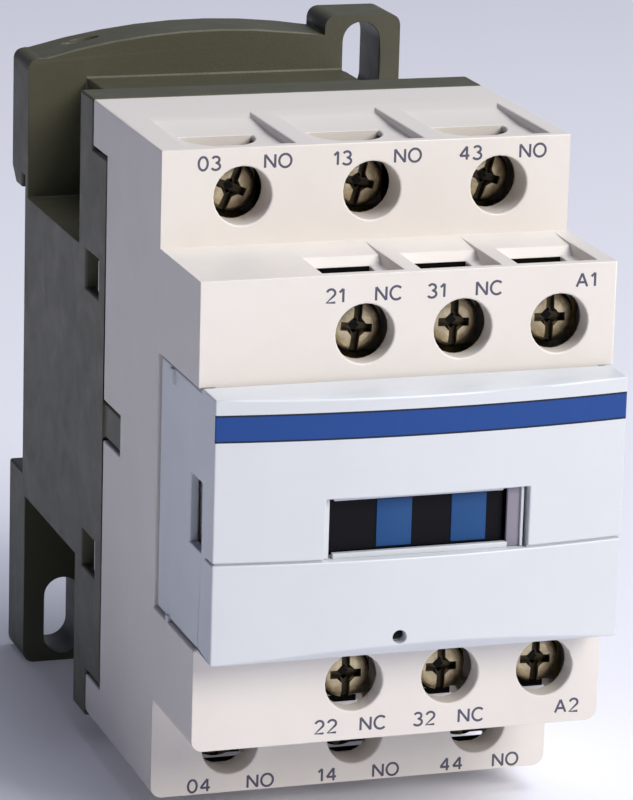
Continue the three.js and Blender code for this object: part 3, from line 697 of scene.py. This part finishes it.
@dataclass
class TerminalScrewShape(RuledShape):
    """A slotted and crossed terminal screw, its head's top at the origin and +Z outwards."""

    head_radius: float = 2.6
    head_height: float = 1.4
    crown: float = 0.35
    shank_radius: float = 1.42
    shank_length: float = 8.2
    pitch: float = 0.6
    thread: float = 0.3
    slot_width: float = 0.9
    slot_depth: float = 0.8
    cross_reach: float = 1.7
    cross_depth: float = 1.1
    turn: float = 0.0

    def sizes(self) -> dict[str, float]:
        """The screw's sizes in metres, and its turn in radians."""
        lengths = {
            "Head Radius": self.head_radius, "Head Height": self.head_height,
            "Crown": self.crown, "Shank Radius": self.shank_radius,
            "Shank Length": self.shank_length, "Pitch": self.pitch, "Thread": self.thread,
            "Slot Width": self.slot_width, "Slot Depth": self.slot_depth,
            "Cross Reach": self.cross_reach, "Cross Depth": self.cross_depth,
        }
        return {**{key: value * MM for key, value in lengths.items()}, "Turn": self.turn}

    def head(self, tree: bpy.types.NodeTree, size: dict[str, Any]) -> Any:
        """The crowned head, before its recess is cut."""
        disc = add_node(
            tree, "GeometryNodeMeshCylinder",
            {"Vertices": 48, "Side Segments": 3, "Fill Segments": 7},
            {"Radius": size["Head Radius"], "Depth": size["Head Height"]},
        ).outputs["Mesh"]
        low = along_axis(tree, disc, arithmetic(tree, "MULTIPLY", size["Head Height"], -0.5))
        place = add_node(tree, "GeometryNodeInputPosition").outputs[0]
        parts = add_node(tree, "ShaderNodeSeparateXYZ", {}, {0: place})
        flat = add_node(
            tree, "ShaderNodeCombineXYZ", {}, {"X": parts.outputs["X"], "Y": parts.outputs["Y"]})
        reach = add_node(
            tree, "ShaderNodeVectorMath", {"operation": "LENGTH"}, {0: flat.outputs[0]})
        share = arithmetic(tree, "DIVIDE", reach.outputs["Value"], size["Head Radius"])
        drop = arithmetic(tree, "MULTIPLY", arithmetic(tree, "POWER", share, 5.0), size["Crown"])
        depth = arithmetic(tree, "DIVIDE", parts.outputs["Z"], size["Head Height"])
        top_only = arithmetic(tree, "GREATER_THAN", depth, -0.05)
        lower = arithmetic(tree, "MULTIPLY", arithmetic(tree, "MULTIPLY", drop, top_only), -1.0)
        shift = add_node(tree, "ShaderNodeCombineXYZ", {}, {"Z": lower})
        return add_node(
            tree, "GeometryNodeSetPosition", {}, {"Geometry": low, "Offset": shift.outputs[0]}
        ).outputs[0]

    def recess(self, tree: bpy.types.NodeTree, size: dict[str, Any]) -> list[Any]:
        """The full slot, the short cross slot and the tapered middle that are cut out."""
        across = arithmetic(tree, "MULTIPLY", size["Head Radius"], 2.3)
        deep = arithmetic(tree, "MULTIPLY", size["Slot Depth"], 2.0)
        deeper = arithmetic(tree, "MULTIPLY", size["Cross Depth"], 2.0)
        reach = arithmetic(tree, "MULTIPLY", size["Cross Reach"], 2.0)
        slot = add_node(
            tree, "ShaderNodeCombineXYZ", {}, {"X": across, "Y": size["Slot Width"], "Z": deep})
        cross = add_node(
            tree, "ShaderNodeCombineXYZ", {}, {"X": size["Slot Width"], "Y": reach, "Z": deeper})
        boxes = [
            add_node(tree, "GeometryNodeMeshCube", {}, {"Size": box.outputs[0]}).outputs["Mesh"]
            for box in (slot, cross)
        ]
        middle = add_node(
            tree, "GeometryNodeMeshCone", {"Vertices": 4},
            {"Radius Top": size["Cross Reach"],
             "Radius Bottom": arithmetic(tree, "MULTIPLY", size["Slot Width"], 0.6), "Depth": deep},
        ).outputs["Mesh"]
        return [*boxes, along_axis(tree, middle, arithmetic(tree, "MULTIPLY", deeper, -0.55))]

    def shank(self, tree: bpy.types.NodeTree, size: dict[str, Any]) -> list[Any]:
        """The core below the head, with the thread wound on it."""
        core = add_node(
            tree, "GeometryNodeMeshCylinder", {"Vertices": 28},
            {"Radius": size["Shank Radius"], "Depth": size["Shank Length"]},
        ).outputs["Mesh"]
        middle = arithmetic(
            tree, "ADD", arithmetic(tree, "MULTIPLY", size["Shank Length"], 0.5), size["Head Height"])
        turns = arithmetic(tree, "DIVIDE", size["Shank Length"], size["Pitch"])
        helix = add_node(
            tree, "GeometryNodeCurveSpiral", {"Resolution": 22},
            {"Rotations": turns, "Start Radius": size["Shank Radius"],
             "End Radius": size["Shank Radius"],
             "Height": arithmetic(tree, "MULTIPLY", size["Shank Length"], 0.9)},
        )
        ridge = add_node(
            tree, "GeometryNodeCurvePrimitiveCircle", {"Resolution": 4}, {"Radius": size["Thread"]})
        thread = add_node(
            tree, "GeometryNodeCurveToMesh", {"Fill Caps": True},
            {"Curve": helix.outputs[0], "Profile Curve": ridge.outputs[0]},
        ).outputs[0]
        start = arithmetic(
            tree, "ADD", size["Head Height"], arithmetic(tree, "MULTIPLY", size["Shank Length"], 0.95))
        return [
            along_axis(tree, core, arithmetic(tree, "MULTIPLY", middle, -1.0)),
            along_axis(tree, thread, arithmetic(tree, "MULTIPLY", start, -1.0)),
        ]

    def grow(self, tree: bpy.types.NodeTree, size: dict[str, Any]) -> Any:
        """Cuts the recess, adds the shank and turns the screw."""
        cut = add_node(tree, "GeometryNodeMeshBoolean", {"operation": "DIFFERENCE", "solver": "EXACT"})
        tree.links.new(self.head(tree, size), cut.inputs["Mesh 1"])
        for tool in self.recess(tree, size):
            tree.links.new(tool, cut.inputs["Mesh 2"])
        whole = add_node(tree, "GeometryNodeJoinGeometry")
        for part in [cut.outputs["Mesh"], *self.shank(tree, size)]:
            tree.links.new(part, whole.inputs[0])
        place = add_node(tree, "GeometryNodeInputPosition").outputs[0]
        noted = add_node(
            tree, "GeometryNodeStoreNamedAttribute",
            {"data_type": "FLOAT_VECTOR", "domain": "POINT", "Name": "own_place"},
            {"Geometry": whole.outputs[0], "Value": place},
        ).outputs[0]
        spin = add_node(tree, "ShaderNodeCombineXYZ", {}, {"Z": size["Turn"]})
        turned = add_node(
            tree, "GeometryNodeTransform", {}, {"Geometry": noted, "Rotation": spin.outputs[0]})
        return turned.outputs[0]


@dataclass
class WireSpringShape(RuledShape):
    """A compression spring of round wire, standing on the origin along +Z."""

    start_radius: float = 1.45
    end_radius: float = 1.45
    wire: float = 0.28
    length: float = 3.6
    turns: float = 3.0

    def sizes(self) -> dict[str, float]:
        """The spring's sizes in metres, and its number of turns."""
        return {
            "Start Radius": self.start_radius * MM, "End Radius": self.end_radius * MM,
            "Wire": self.wire * MM, "Length": self.length * MM, "Turns": self.turns,
        }

    def grow(self, tree: bpy.types.NodeTree, size: dict[str, Any]) -> Any:
        """Sweeps the wire's round section along the coil."""
        rise = arithmetic(
            tree, "SUBTRACT", size["Length"], arithmetic(tree, "MULTIPLY", size["Wire"], 2.0))
        coil = add_node(
            tree, "GeometryNodeCurveSpiral", {"Resolution": 36},
            {"Rotations": size["Turns"], "Start Radius": size["Start Radius"],
             "End Radius": size["End Radius"], "Height": rise},
        )
        section = add_node(
            tree, "GeometryNodeCurvePrimitiveCircle", {"Resolution": 12}, {"Radius": size["Wire"]})
        swept = add_node(
            tree, "GeometryNodeCurveToMesh", {"Fill Caps": True},
            {"Curve": coil.outputs[0], "Profile Curve": section.outputs[0]},
        ).outputs[0]
        return along_axis(tree, swept, size["Wire"])


# ---- Sub-assemblies ------------------------------------------------------------------


def arc(centre: Span, radii: Span, start: float, end: float, steps: int = 14) -> list[Span]:
    """Points along part of an ellipse.

    Args:
        centre: Its centre.
        radii: Its half width and half height.
        start: Angle of the first point, in degrees from the right, anticlockwise.
        end: Angle of the last point.
        steps: Number of steps between them.

    Returns:
        The points.
    """
    angles = [math.radians(start + (end - start) * k / steps) for k in range(steps + 1)]
    return [(centre[0] + radii[0] * math.cos(a), centre[1] + radii[1] * math.sin(a)) for a in angles]


# Each character is drawn as pen strokes in a cell one unit high.
STROKES: dict[str, tuple[float, list[list[tuple[float, float]]]]] = {
    "0": (0.62, [arc((0.31, 0.5), (0.31, 0.5), 90, 450, 28)]),
    "1": (0.34, [[(0.0, 0.74), (0.26, 1.0), (0.26, 0.0)]]),
    "2": (0.6, [[*arc((0.3, 0.71), (0.28, 0.29), 165, -35), (0.0, 0.0), (0.6, 0.0)]]),
    "3": (0.58, [[
        *arc((0.27, 0.76), (0.25, 0.24), 155, -80), *arc((0.27, 0.26), (0.3, 0.26), 85, -155)]]),
    "4": (0.66, [[(0.48, 0.0), (0.48, 1.0), (0.0, 0.3), (0.66, 0.3)]]),
    "A": (0.74, [[(0.0, 0.0), (0.37, 1.0), (0.74, 0.0)], [(0.13, 0.33), (0.61, 0.33)]]),
    "C": (0.74, [arc((0.42, 0.5), (0.42, 0.5), 45, 315, 24)]),
    "N": (0.7, [[(0.0, 0.0), (0.0, 1.0), (0.7, 0.0), (0.7, 1.0)]]),
    "O": (0.84, [arc((0.42, 0.5), (0.42, 0.5), 90, 450, 28)]),
}


@dataclass
class Lettering:
    """Terminal numbers and contact kinds, pad-printed on the tiers' faces in thin pen strokes."""

    finishes: Finishes
    pen: float = 0.13
    gap: float = 0.28
    wide: float = 1.12
    flat: float = 0.12
    height: float = 1.4
    rows: tuple[tuple[str, float, float, str], ...] = (
        ("03", -17.4, 31.2, "outer"), ("NO", -9.95, 31.2, "outer"),
        ("13", -2.9, 31.2, "outer"), ("NO", 4.3, 31.2, "outer"),
        ("43", 11.3, 31.2, "outer"), ("NO", 18.3, 31.2, "outer"),
        ("21", -8.2, 20.25, "second"), ("NC", -2.5, 20.25, "second"),
        ("31", 2.7, 20.25, "second"), ("NC", 8.4, 20.25, "second"),
        ("A1", 19.1, 20.6, "second"),
        ("22", -7.9, -26.05, "second"), ("NC", -2.7, -26.05, "second"),
        ("32", 3.0, -26.05, "second"), ("NC", 8.2, -26.05, "second"),
        ("A2", 19.0, -25.9, "second"),
        ("04", -17.1, -37.1, "outer"), ("NO", -10.2, -37.1, "outer"),
        ("14", -2.6, -37.1, "outer"), ("NO", 4.1, -37.1, "outer"),
        ("44", 11.7, -37.1, "outer"), ("NO", 18.0, -37.1, "outer"),
    )

    def draw(self, curve: bpy.types.Curve, text: str, x: float, z: float) -> None:
        """Adds a word's strokes to a curve, centred on a point.

        Args:
            curve: The curve that takes the strokes.
            text: The word.
            x: Its middle across the face.
            z: Its middle height.
        """
        width = sum(STROKES[c][0] for c in text) + self.gap * (len(text) - 1)
        left = -width / 2
        for character in text:
            wide, strokes = STROKES[character]
            for stroke in strokes:
                straight = len(stroke) < CURVED_FROM
                runs = list(zip(stroke, stroke[1:])) if straight else [stroke]
                for run in runs:
                    spline = curve.splines.new("POLY")
                    spline.points.add(len(run) - 1)
                    for target, (across, up) in zip(spline.points, run):
                        target.co = (
                            (x + (left + across) * self.wide * self.height) * MM,
                            (z + (up - 0.5) * self.height) * MM, 0.0, 1.0)
            left += wide + self.gap

    def build(self) -> None:
        """Makes all the lettering as one piece on the casing."""
        grid = bmesh.new()
        for tier, depth in TIER_FACE.items():
            curve = bpy.data.curves.new(f"strokes_{tier}", "CURVE")
            curve.dimensions = "3D"
            curve.bevel_depth = self.pen * MM
            curve.bevel_resolution = 2
            curve.use_fill_caps = True
            for text, x, z, face in self.rows:
                if face == tier:
                    self.draw(curve, text, x, z)
            mesh = evaluated_mesh(show(f"strokes_{tier}", curve))
            pressed = Matrix.Diagonal((1.0, self.flat, 1.0, 1.0))
            mesh.transform(Matrix.Translation(point(0, depth, 0)) @ pressed @ UPRIGHT)
            grid.from_mesh(mesh)
            bpy.data.meshes.remove(mesh)
        mesh = bpy.data.meshes.new("tier_lettering")
        grid.to_mesh(mesh)
        grid.free()
        mesh.materials.clear()
        mesh.materials.append(self.finishes.get("ink"))
        hand_over(show("tier_lettering", mesh), HOUSING)


@dataclass
class FrontHousing:
    """The stepped front casing with its wells, wire ramps and lettering."""

    finishes: Finishes
    radius: float = 0.22

    def build(self) -> None:
        """Makes the casing and its lettering."""
        obj = SoftenedSolid("front_housing", self.radius).build("front_housing_shell")
        obj.data.materials.append(self.finishes.get("tier"))
        hand_over(obj, HOUSING, ["front_housing"])
        Lettering(self.finishes).build()


@dataclass
class FrontCover:
    """The crowned cover with its printed stripe and the trims behind its window."""

    finishes: Finishes
    radius: float = 0.2
    stripe_low: float = 6.9
    stripe_high: float = 9.8
    outline: float = 0.2
    front_from: float = -76.2
    crown_radius: float = 154.8
    flush: float = 0.99
    bars: tuple[tuple[str, Span, Span, Span, str], ...] = (
        ("window_side_plate", (9.35, 10.75), (-76.8, -76.4), (-3.3, 3.2), "sight"),
        ("window_side_strip", (10.75, 11.05), (-77.1, -76.4), (-3.3, 3.2), "cover"),
        ("window_left_strip", (-10.6, -9.95), (-76.9, -76.4), (-3.3, 3.2), "cover"),
        ("window_top_strip", (-9.4, 8.9), (-76.7, -76.35), (2.72, 3.25), "cover"),
        ("window_ledge", (-9.5, 9.4), (-77.0, -76.35), (-3.35, -2.78), "cover"),
        ("skirt_nub_left_low", (-22.48, -22.0), (-61.9, -61.1), (-14.1, -13.3), "cover"),
        ("skirt_nub_left_high", (-22.48, -22.0), (-62.2, -61.0), (11.8, 13.5), "cover"),
        ("skirt_nub_right_low", (22.0, 22.48), (-61.9, -61.1), (-14.1, -13.3), "cover"),
        ("skirt_nub_right_high", (22.0, 22.48), (-62.2, -61.0), (11.8, 13.5), "cover"),
    )

    def paint_stripe(self, obj: bpy.types.Object) -> None:
        """Prints the stripe across the crowned front, flush with it.

        Args:
            obj: The cover, whose faces are split along the stripe's edges.
        """
        grid = bmesh.new()
        grid.from_mesh(obj.data)
        lines = (
            self.stripe_low, self.stripe_low + self.outline,
            self.stripe_high - self.outline, self.stripe_high,
        )
        for z in lines:
            faces = [f for f in grid.faces if f.calc_center_median().y < self.front_from * MM]
            edges = {e for f in faces for e in f.edges}
            verts = {v for f in faces for v in f.verts}
            bmesh.ops.bisect_plane(
                grid, geom=[*faces, *edges, *verts], dist=1e-7,
                plane_co=point(0, 0, z), plane_no=(0, 0, 1),
            )
        for face in grid.faces:
            middle = face.calc_center_median()
            height = middle.z / MM
            if face.normal.y < FACING_FRONT and middle.y < self.front_from * MM:
                if lines[1] < height < lines[2]:
                    face.material_index = 1
                elif lines[0] < height < lines[3]:
                    face.material_index = 2
        grid.to_mesh(obj.data)
        grid.free()

    def build(self) -> None:
        """Makes the cover and what shows through its window."""
        solid = SoftenedSolid("front_cover", self.radius, flat_to=0.05, least=0.4)
        obj = solid.build("front_cover_shell")
        for finish in ("cover", "stripe", "stripe_edge"):
            obj.data.materials.append(self.finishes.get(finish))
        self.paint_stripe(obj)
        hand_over(self.smooth_front(obj), HOUSING, ["front_cover"])
        self.trims()

    def smooth_front(self, obj: bpy.types.Object) -> bpy.types.Object:
        """Shades the crowned front as the single curve that its facets stand for.

        Args:
            obj: The cover with its printed stripe.

        Returns:
            The cover as a plain mesh.
        """
        mesh = evaluated_mesh(obj)
        radius = self.crown_radius * MM
        normals = [Vector(corner.vector) for corner in mesh.corner_normals]
        for face in mesh.polygons:
            outwards = Vector((face.center.x / radius, -1.0, 0.0)).normalized()
            if face.center.y < self.front_from * MM and face.normal.dot(outwards) > self.flush:
                for k in face.loop_indices:
                    x = mesh.vertices[mesh.loops[k].vertex_index].co.x
                    normals[k] = Vector((x / radius, -1.0, 0.0)).normalized()
        mesh.normals_split_custom_set([tuple(n) for n in normals])
        return show("front_cover_shell", mesh)

    def trims(self) -> None:
        """What frames the carrier in the window, and the snap nubs on the skirts."""
        for name, xs, ys, zs, finish in self.bars:
            obj = rounded_box(name, xs, ys, zs, 0.06)
            obj.data.transform(Matrix.Translation(point(0, 0, CENTRE_Z)))
            obj.data.materials.append(self.finishes.get(finish))
            hand_over(obj, HOUSING)


def rounded_box(name: str, xs: Span, ys: Span, zs: Span, radius: float) -> bpy.types.Object:
    """A box with rounded edges between two values on each axis.

    Args:
        name: Name of the piece.
        xs: Its two ends along X.
        ys: Its two ends along Y.
        zs: Its two ends along Z.
        radius: Radius of its edges.

    Returns:
        The piece, at the origin.
    """
    grid = bmesh.new()
    bmesh.ops.create_cube(grid, size=1.0)
    for vert in grid.verts:
        vert.co = point(*(
            ends[0] if value < 0 else ends[1] for value, ends in zip(vert.co, (xs, ys, zs))
        ))
    bmesh.ops.bevel(
        grid, geom=list(grid.edges), offset=radius * MM, segments=3, affect="EDGES", profile=0.5)
    bmesh.ops.recalc_face_normals(grid, faces=grid.faces)
    mesh = bpy.data.meshes.new(name)
    grid.to_mesh(mesh)
    grid.free()
    mesh.shade_smooth()
    return show(name, mesh)


@dataclass
class ContactSystem:
    """The black carrier that shows in the window, its bridges, and their springs."""

    finishes: Finishes
    poles: tuple[str, ...] = ("03", "13", "43", "21", "31")
    bars: tuple[Span, ...] = ((-4.6, -0.8), (3.5, 7.3))
    nose_front: float = -76.0
    bar_low: float = -2.6
    bar_high: float = 2.5
    bar_proud: float = 0.12

    def springs(self) -> None:
        """Round-wire springs behind the bridges, in the places the frame gives."""
        for pole in self.poles:
            node = f"contact_spring_{pole}"
            low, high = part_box(node)
            length = (high.y - low.y) / MM
            mesh = WireSpringShape(node, self.finishes.get("wire"), length=length).mesh()
            mesh.transform(UPRIGHT)
            mesh.transform(Matrix.Translation(((low.x + high.x) / 2, high.y, CENTRE_Z * MM)))
            mesh.shade_smooth()
            hand_over(show(f"{node}_wire", mesh), CARRIAGE, [node])

    def build(self) -> None:
        """Makes the carrier, its blue bars, the bridges and the springs."""
        dress_plain(self.finishes, ["contact_carrier"], "carrier", CARRIAGE, 0.15)
        for k, ends in enumerate(self.bars):
            obj = rounded_box(
                f"carrier_bar_{k + 1}", ends, (self.nose_front - self.bar_proud, self.nose_front + 1),
                (self.bar_low + CENTRE_Z, self.bar_high + CENTRE_Z), 0.05)
            obj.data.materials.append(self.finishes.get("insert"))
            hand_over(obj, CARRIAGE)
        bridges = [f"moving_bridge_{pole}" for pole in self.poles]
        dress_plain(self.finishes, bridges, "copper", CARRIAGE, 0.1)
        self.springs()


@dataclass
class Terminals:
    """Twelve terminals: the screw, its clamp washer and the fixed contact or coil lead."""

    finishes: Finishes
    inner: tuple[str, ...] = ("21", "31", "a1", "22", "32", "a2")
    shade_disc_radius: float = 2.95
    shade_disc_thick: float = 0.4
    shade_disc_depth: float = 1.35
    hole_shade_half: float = 3.05
    inner_hole_shade: tuple[Span, Span] = ((-63.42, -63.25), (22.33, 23.75))
    outer_hole_shade: tuple[Span, Span] = ((-51.95, -51.75), (33.28, 33.85))
    smooth_to: float = 38.0
    turns: dict[str, float] = field(default_factory=lambda: {
        "03": 68.0, "13": 76.0, "43": 72.0, "21": 84.0, "31": 88.0, "a1": 89.0,
        "22": 91.0, "32": 90.0, "a2": 88.0, "04": 80.0, "14": 95.0, "44": 100.0,
    })

    def under_head_shade_disc(self, name: str, top: Vector) -> None:
        """A thin near-black disc under a screw's head, painted shade for the gap under the head.

        Args:
            name: The terminal.
            top: Middle of the top of the screw's head.
        """
        grid = bmesh.new()
        bmesh.ops.create_cone(
            grid, cap_ends=True, segments=40, radius1=self.shade_disc_radius * MM,
            radius2=self.shade_disc_radius * MM, depth=self.shade_disc_thick * MM)
        mesh = bpy.data.meshes.new(f"under_head_shade_disc_{name}")
        grid.to_mesh(mesh)
        grid.free()
        middle = top + point(0, self.shade_disc_depth, 0)
        mesh.transform(Matrix.Translation(middle) @ UPRIGHT)
        mesh.materials.append(self.finishes.get("blackened"))
        hand_over(show(f"under_head_shade_disc_{name}", mesh), f"screw_{name}")

    def hole_shade_plate(self, name: str, top: Vector, ys: Span, heights: Span) -> None:
        """A thin near-black plate at the back of a wire's hole in the roof, painted shade for the
        cavity behind it.

        Args:
            name: The terminal.
            top: Middle of the top of its screw's head.
            ys: The plate's two ends along Y.
            heights: Its two distances from the casing's mid height.
        """
        x = top.x / MM
        side = 1 if top.z > 0 else -1
        low, high = sorted(side * height + CENTRE_Z for height in heights)
        obj = rounded_box(
            f"hole_shade_plate_{name}", (x - self.hole_shade_half, x + self.hole_shade_half), ys, (low, high), 0.02)
        obj.data.materials.append(self.finishes.get("dark"))
        hand_over(obj, HOUSING)

    def build(self) -> None:
        """Makes every terminal."""
        for name, turn in self.turns.items():
            low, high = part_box(f"terminal_screw_{name}")
            top = Vector(((low.x + high.x) / 2, low.y, (low.z + high.z) / 2))
            shape = TerminalScrewShape(
                f"screw_{name}", self.finishes.get("screw"), turn=math.radians(turn))
            mesh = shape.mesh()
            mesh.transform(Matrix.Translation(top) @ UPRIGHT)
            mesh.shade_smooth()
            mesh.set_sharp_from_angle(angle=math.radians(self.smooth_to))
            hand_over(
                show(f"terminal_screw_{name}_turned", mesh), f"screw_{name}",
                [f"terminal_screw_{name}"])
            # a near-black disc under the head paints the gap's shade
            self.under_head_shade_disc(name, top)
            # a near-black plate in the wire's hole paints the cavity's shade
            if name in self.inner:
                self.hole_shade_plate(name, top, *self.inner_hole_shade)
            elif top.z < 0:
                self.hole_shade_plate(name, top, *self.outer_hole_shade)
            dress_plain(
                self.finishes, [f"clamp_washer_{name}"], "clamp", f"clamp_{name}", 0.12)
        contacts = sorted(
            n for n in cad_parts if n.startswith(("fixed_contact", "coil_terminal")))
        dress_plain(self.finishes, contacts, "brass", HOUSING, 0.12)


@dataclass
class MagnetAndCoil:
    """The two laminated halves of the magnet, the coil, and the return spring."""

    finishes: Finishes
    spring_start: float = -31.3
    spring_length: float = 6.9
    spring_turns: float = 2.5
    travel: float = 4.0

    def return_spring(self) -> None:
        """The conical spring that the magnet presses as it closes, made here at one length."""
        mesh = WireSpringShape(
            "return_spring", self.finishes.get("wire"), start_radius=9.9, end_radius=11.6,
            wire=0.5, length=self.spring_length, turns=self.spring_turns).mesh()
        mesh.transform(UPRIGHT)
        mesh.transform(Matrix.Translation(point(0, self.spring_start, CENTRE_Z)))
        mesh.shade_smooth()
        obj = hand_over(
            show("return_spring_wire", mesh), HOUSING, ["return_spring"])
        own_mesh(obj)

    def build(self) -> None:
        """Makes the magnet, the coil and the spring."""
        made = self.finishes
        dress_plain(made, ["fixed_core"], "sheet", HOUSING, 0.1)
        dress_plain(made, ["moving_armature"], "sheet", CARRIAGE, 0.1)
        dress_plain(
            made, ["shading_ring_top", "shading_ring_bottom"], "copper", HOUSING, 0.1)
        dress_plain(made, ["coil_bobbin"], "bobbin", HOUSING, 0.2)
        dress_plain(made, ["coil_winding"], "winding", HOUSING, 0.2)
        dress_plain(made, ["core_pad"], "rubber", HOUSING, 0.2)
        self.return_spring()


@dataclass
class BaseAndClip:
    """The olive base with its two lugs, and the spring clip that grips the rail."""

    finishes: Finishes
    radius: float = 0.3
    clip_travel: float = 3.0

    def build(self) -> None:
        """Makes the base, the clip and the clip's spring."""
        obj = SoftenedSolid("base", self.radius).build("base_moulding")
        obj.data.materials.append(self.finishes.get("base"))
        hand_over(obj, HOUSING, ["base"])
        dress_plain(self.finishes, ["rail_clip"], "clip", "rail_clip", 0.15)
        low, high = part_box("rail_clip_spring")
        length = (high.z - low.z) / MM
        mesh = WireSpringShape(
            "rail_clip_spring", self.finishes.get("wire"), start_radius=0.62, end_radius=0.62,
            length=length, turns=4.5).mesh()
        mesh.transform(Matrix.Translation((0.0, (low.y + high.y) / 2, low.z)))
        mesh.shade_smooth()
        spring = hand_over(
            show("rail_clip_spring_wire", mesh), HOUSING, ["rail_clip_spring"])
        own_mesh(spring)


@dataclass
class Studio:
    """A pale floor, soft light and the camera."""

    azimuth: float = -18.4
    elevation: float = 15.25
    roll: float = 1.63
    distance: float = 473.8
    lens: float = 192.1
    aim: tuple[float, float, float] = (1.85, -36.2, -0.77)
    floor_half: float = 4000.0
    room_left: str = "#34365A"
    room_right: str = "#C4C8D6"
    room_light: float = 0.62
    key_light: float = 11.0
    top_light: float = 6.6

    def camera(self) -> None:
        """Puts the camera to the left of the front, a little above."""
        turn, lift = math.radians(self.azimuth), math.radians(self.elevation)
        back = Vector(
            (math.sin(turn) * math.cos(lift), -math.cos(turn) * math.cos(lift), math.sin(lift)))
        data = bpy.data.cameras.new("camera")
        data.lens = self.lens
        data.sensor_width = 36.0
        data.clip_start = 0.01
        data.clip_end = 50.0
        camera = show("camera", data)
        camera.rotation_mode = "QUATERNION"
        camera.location = point(*self.aim) + back * self.distance * MM
        level = (-back).to_track_quat("-Z", "Y")
        camera.rotation_quaternion = level @ Quaternion((0, 0, 1), math.radians(self.roll))
        bpy.context.scene.camera = camera

    def area_light(
        self, name: str, place: tuple[float, float, float], size: float, power: float, tint: str
    ) -> None:
        """Adds one soft light that looks at the relay's middle.

        Args:
            name: Name of the light.
            place: Where it hangs, in metres.
            size: Side of its square, in metres.
            power: Its power in watts.
            tint: Its colour.
        """
        data = bpy.data.lights.new(name, "AREA")
        data.shape = "SQUARE"
        data.size = size
        data.energy = power
        data.color = srgb(tint)[:3]
        light = show(name, data)
        light.location = place
        aim = point(0, -40, 0) - Vector(place)
        light.rotation_mode = "QUATERNION"
        light.rotation_quaternion = aim.to_track_quat("-Z", "Y")

    def surroundings(self) -> None:
        """White behind the relay, and a cool room around it that is dimmer at the left."""
        world = bpy.data.worlds.new("room")
        world.use_nodes = True
        tree = world.node_tree
        tree.nodes.clear()
        seen = add_node(tree, "ShaderNodeBackground", {"Color": (1.0, 1.0, 1.0, 1.0), "Strength": 1.0})
        place = add_node(tree, "ShaderNodeTexCoord").outputs["Generated"]
        across = add_node(tree, "ShaderNodeSeparateXYZ", {}, {0: place}).outputs["X"]
        share = add_node(
            tree, "ShaderNodeMapRange", {"From Min": -0.7, "From Max": 0.5}, {"Value": across})
        tint = add_node(
            tree, "ShaderNodeMix",
            {"data_type": "RGBA", 6: srgb(self.room_left), 7: srgb(self.room_right)},
            {0: share.outputs[0]},
        )
        room = add_node(
            tree, "ShaderNodeBackground", {"Strength": self.room_light}, {"Color": tint.outputs[2]})
        path = add_node(tree, "ShaderNodeLightPath")
        both = add_node(
            tree, "ShaderNodeMixShader", {},
            {0: path.outputs["Is Camera Ray"], 1: room.outputs[0], 2: seen.outputs[0]})
        add_node(tree, "ShaderNodeOutputWorld", {}, {"Surface": both.outputs[0]})
        bpy.context.scene.world = world

    def floor(self) -> None:
        """The plain floor under the relay's lowest point."""
        half = self.floor_half * MM
        low = CAD_BOX[0].z
        mesh = bpy.data.meshes.new("floor")
        mesh.from_pydata(
            [(-half, -half, low), (half, -half, low), (half, half, low), (-half, half, low)],
            [], [(0, 1, 2, 3)])
        board = MouldedPlastic(
            "matt_board_pale", "#EDEEF6", "#E8E9F2", 0.8, grain_mm=2.0, clouds_mm=200.0, glow=0.06)
        mesh.materials.append(board.build())
        show("floor", mesh)

    def build(self) -> None:
        """Sets up the camera, the light and the floor."""
        self.camera()
        self.surroundings()
        self.floor()
        self.area_light("key", (0.52, -0.92, 0.62), 0.55, self.key_light, "#FFF9F0")
        self.area_light("top", (0.3, -0.25, 1.08), 0.7, self.top_light, "#F2F6FF")
        bpy.context.scene.view_settings.view_transform = "Standard"


def main() -> None:
    """Builds the relay's sub-assemblies in order, then the studio."""
    logging.basicConfig(level=logging.INFO, format="%(name)s %(message)s")
    finishes = Finishes()
    Studio().build()
    for assembly in (BaseAndClip, FrontHousing, FrontCover, ContactSystem, Terminals, MagnetAndCoil):
        LOG.info("building %s", assembly.__name__)
        assembly(finishes).build()


if __name__ == "__main__":
    main()
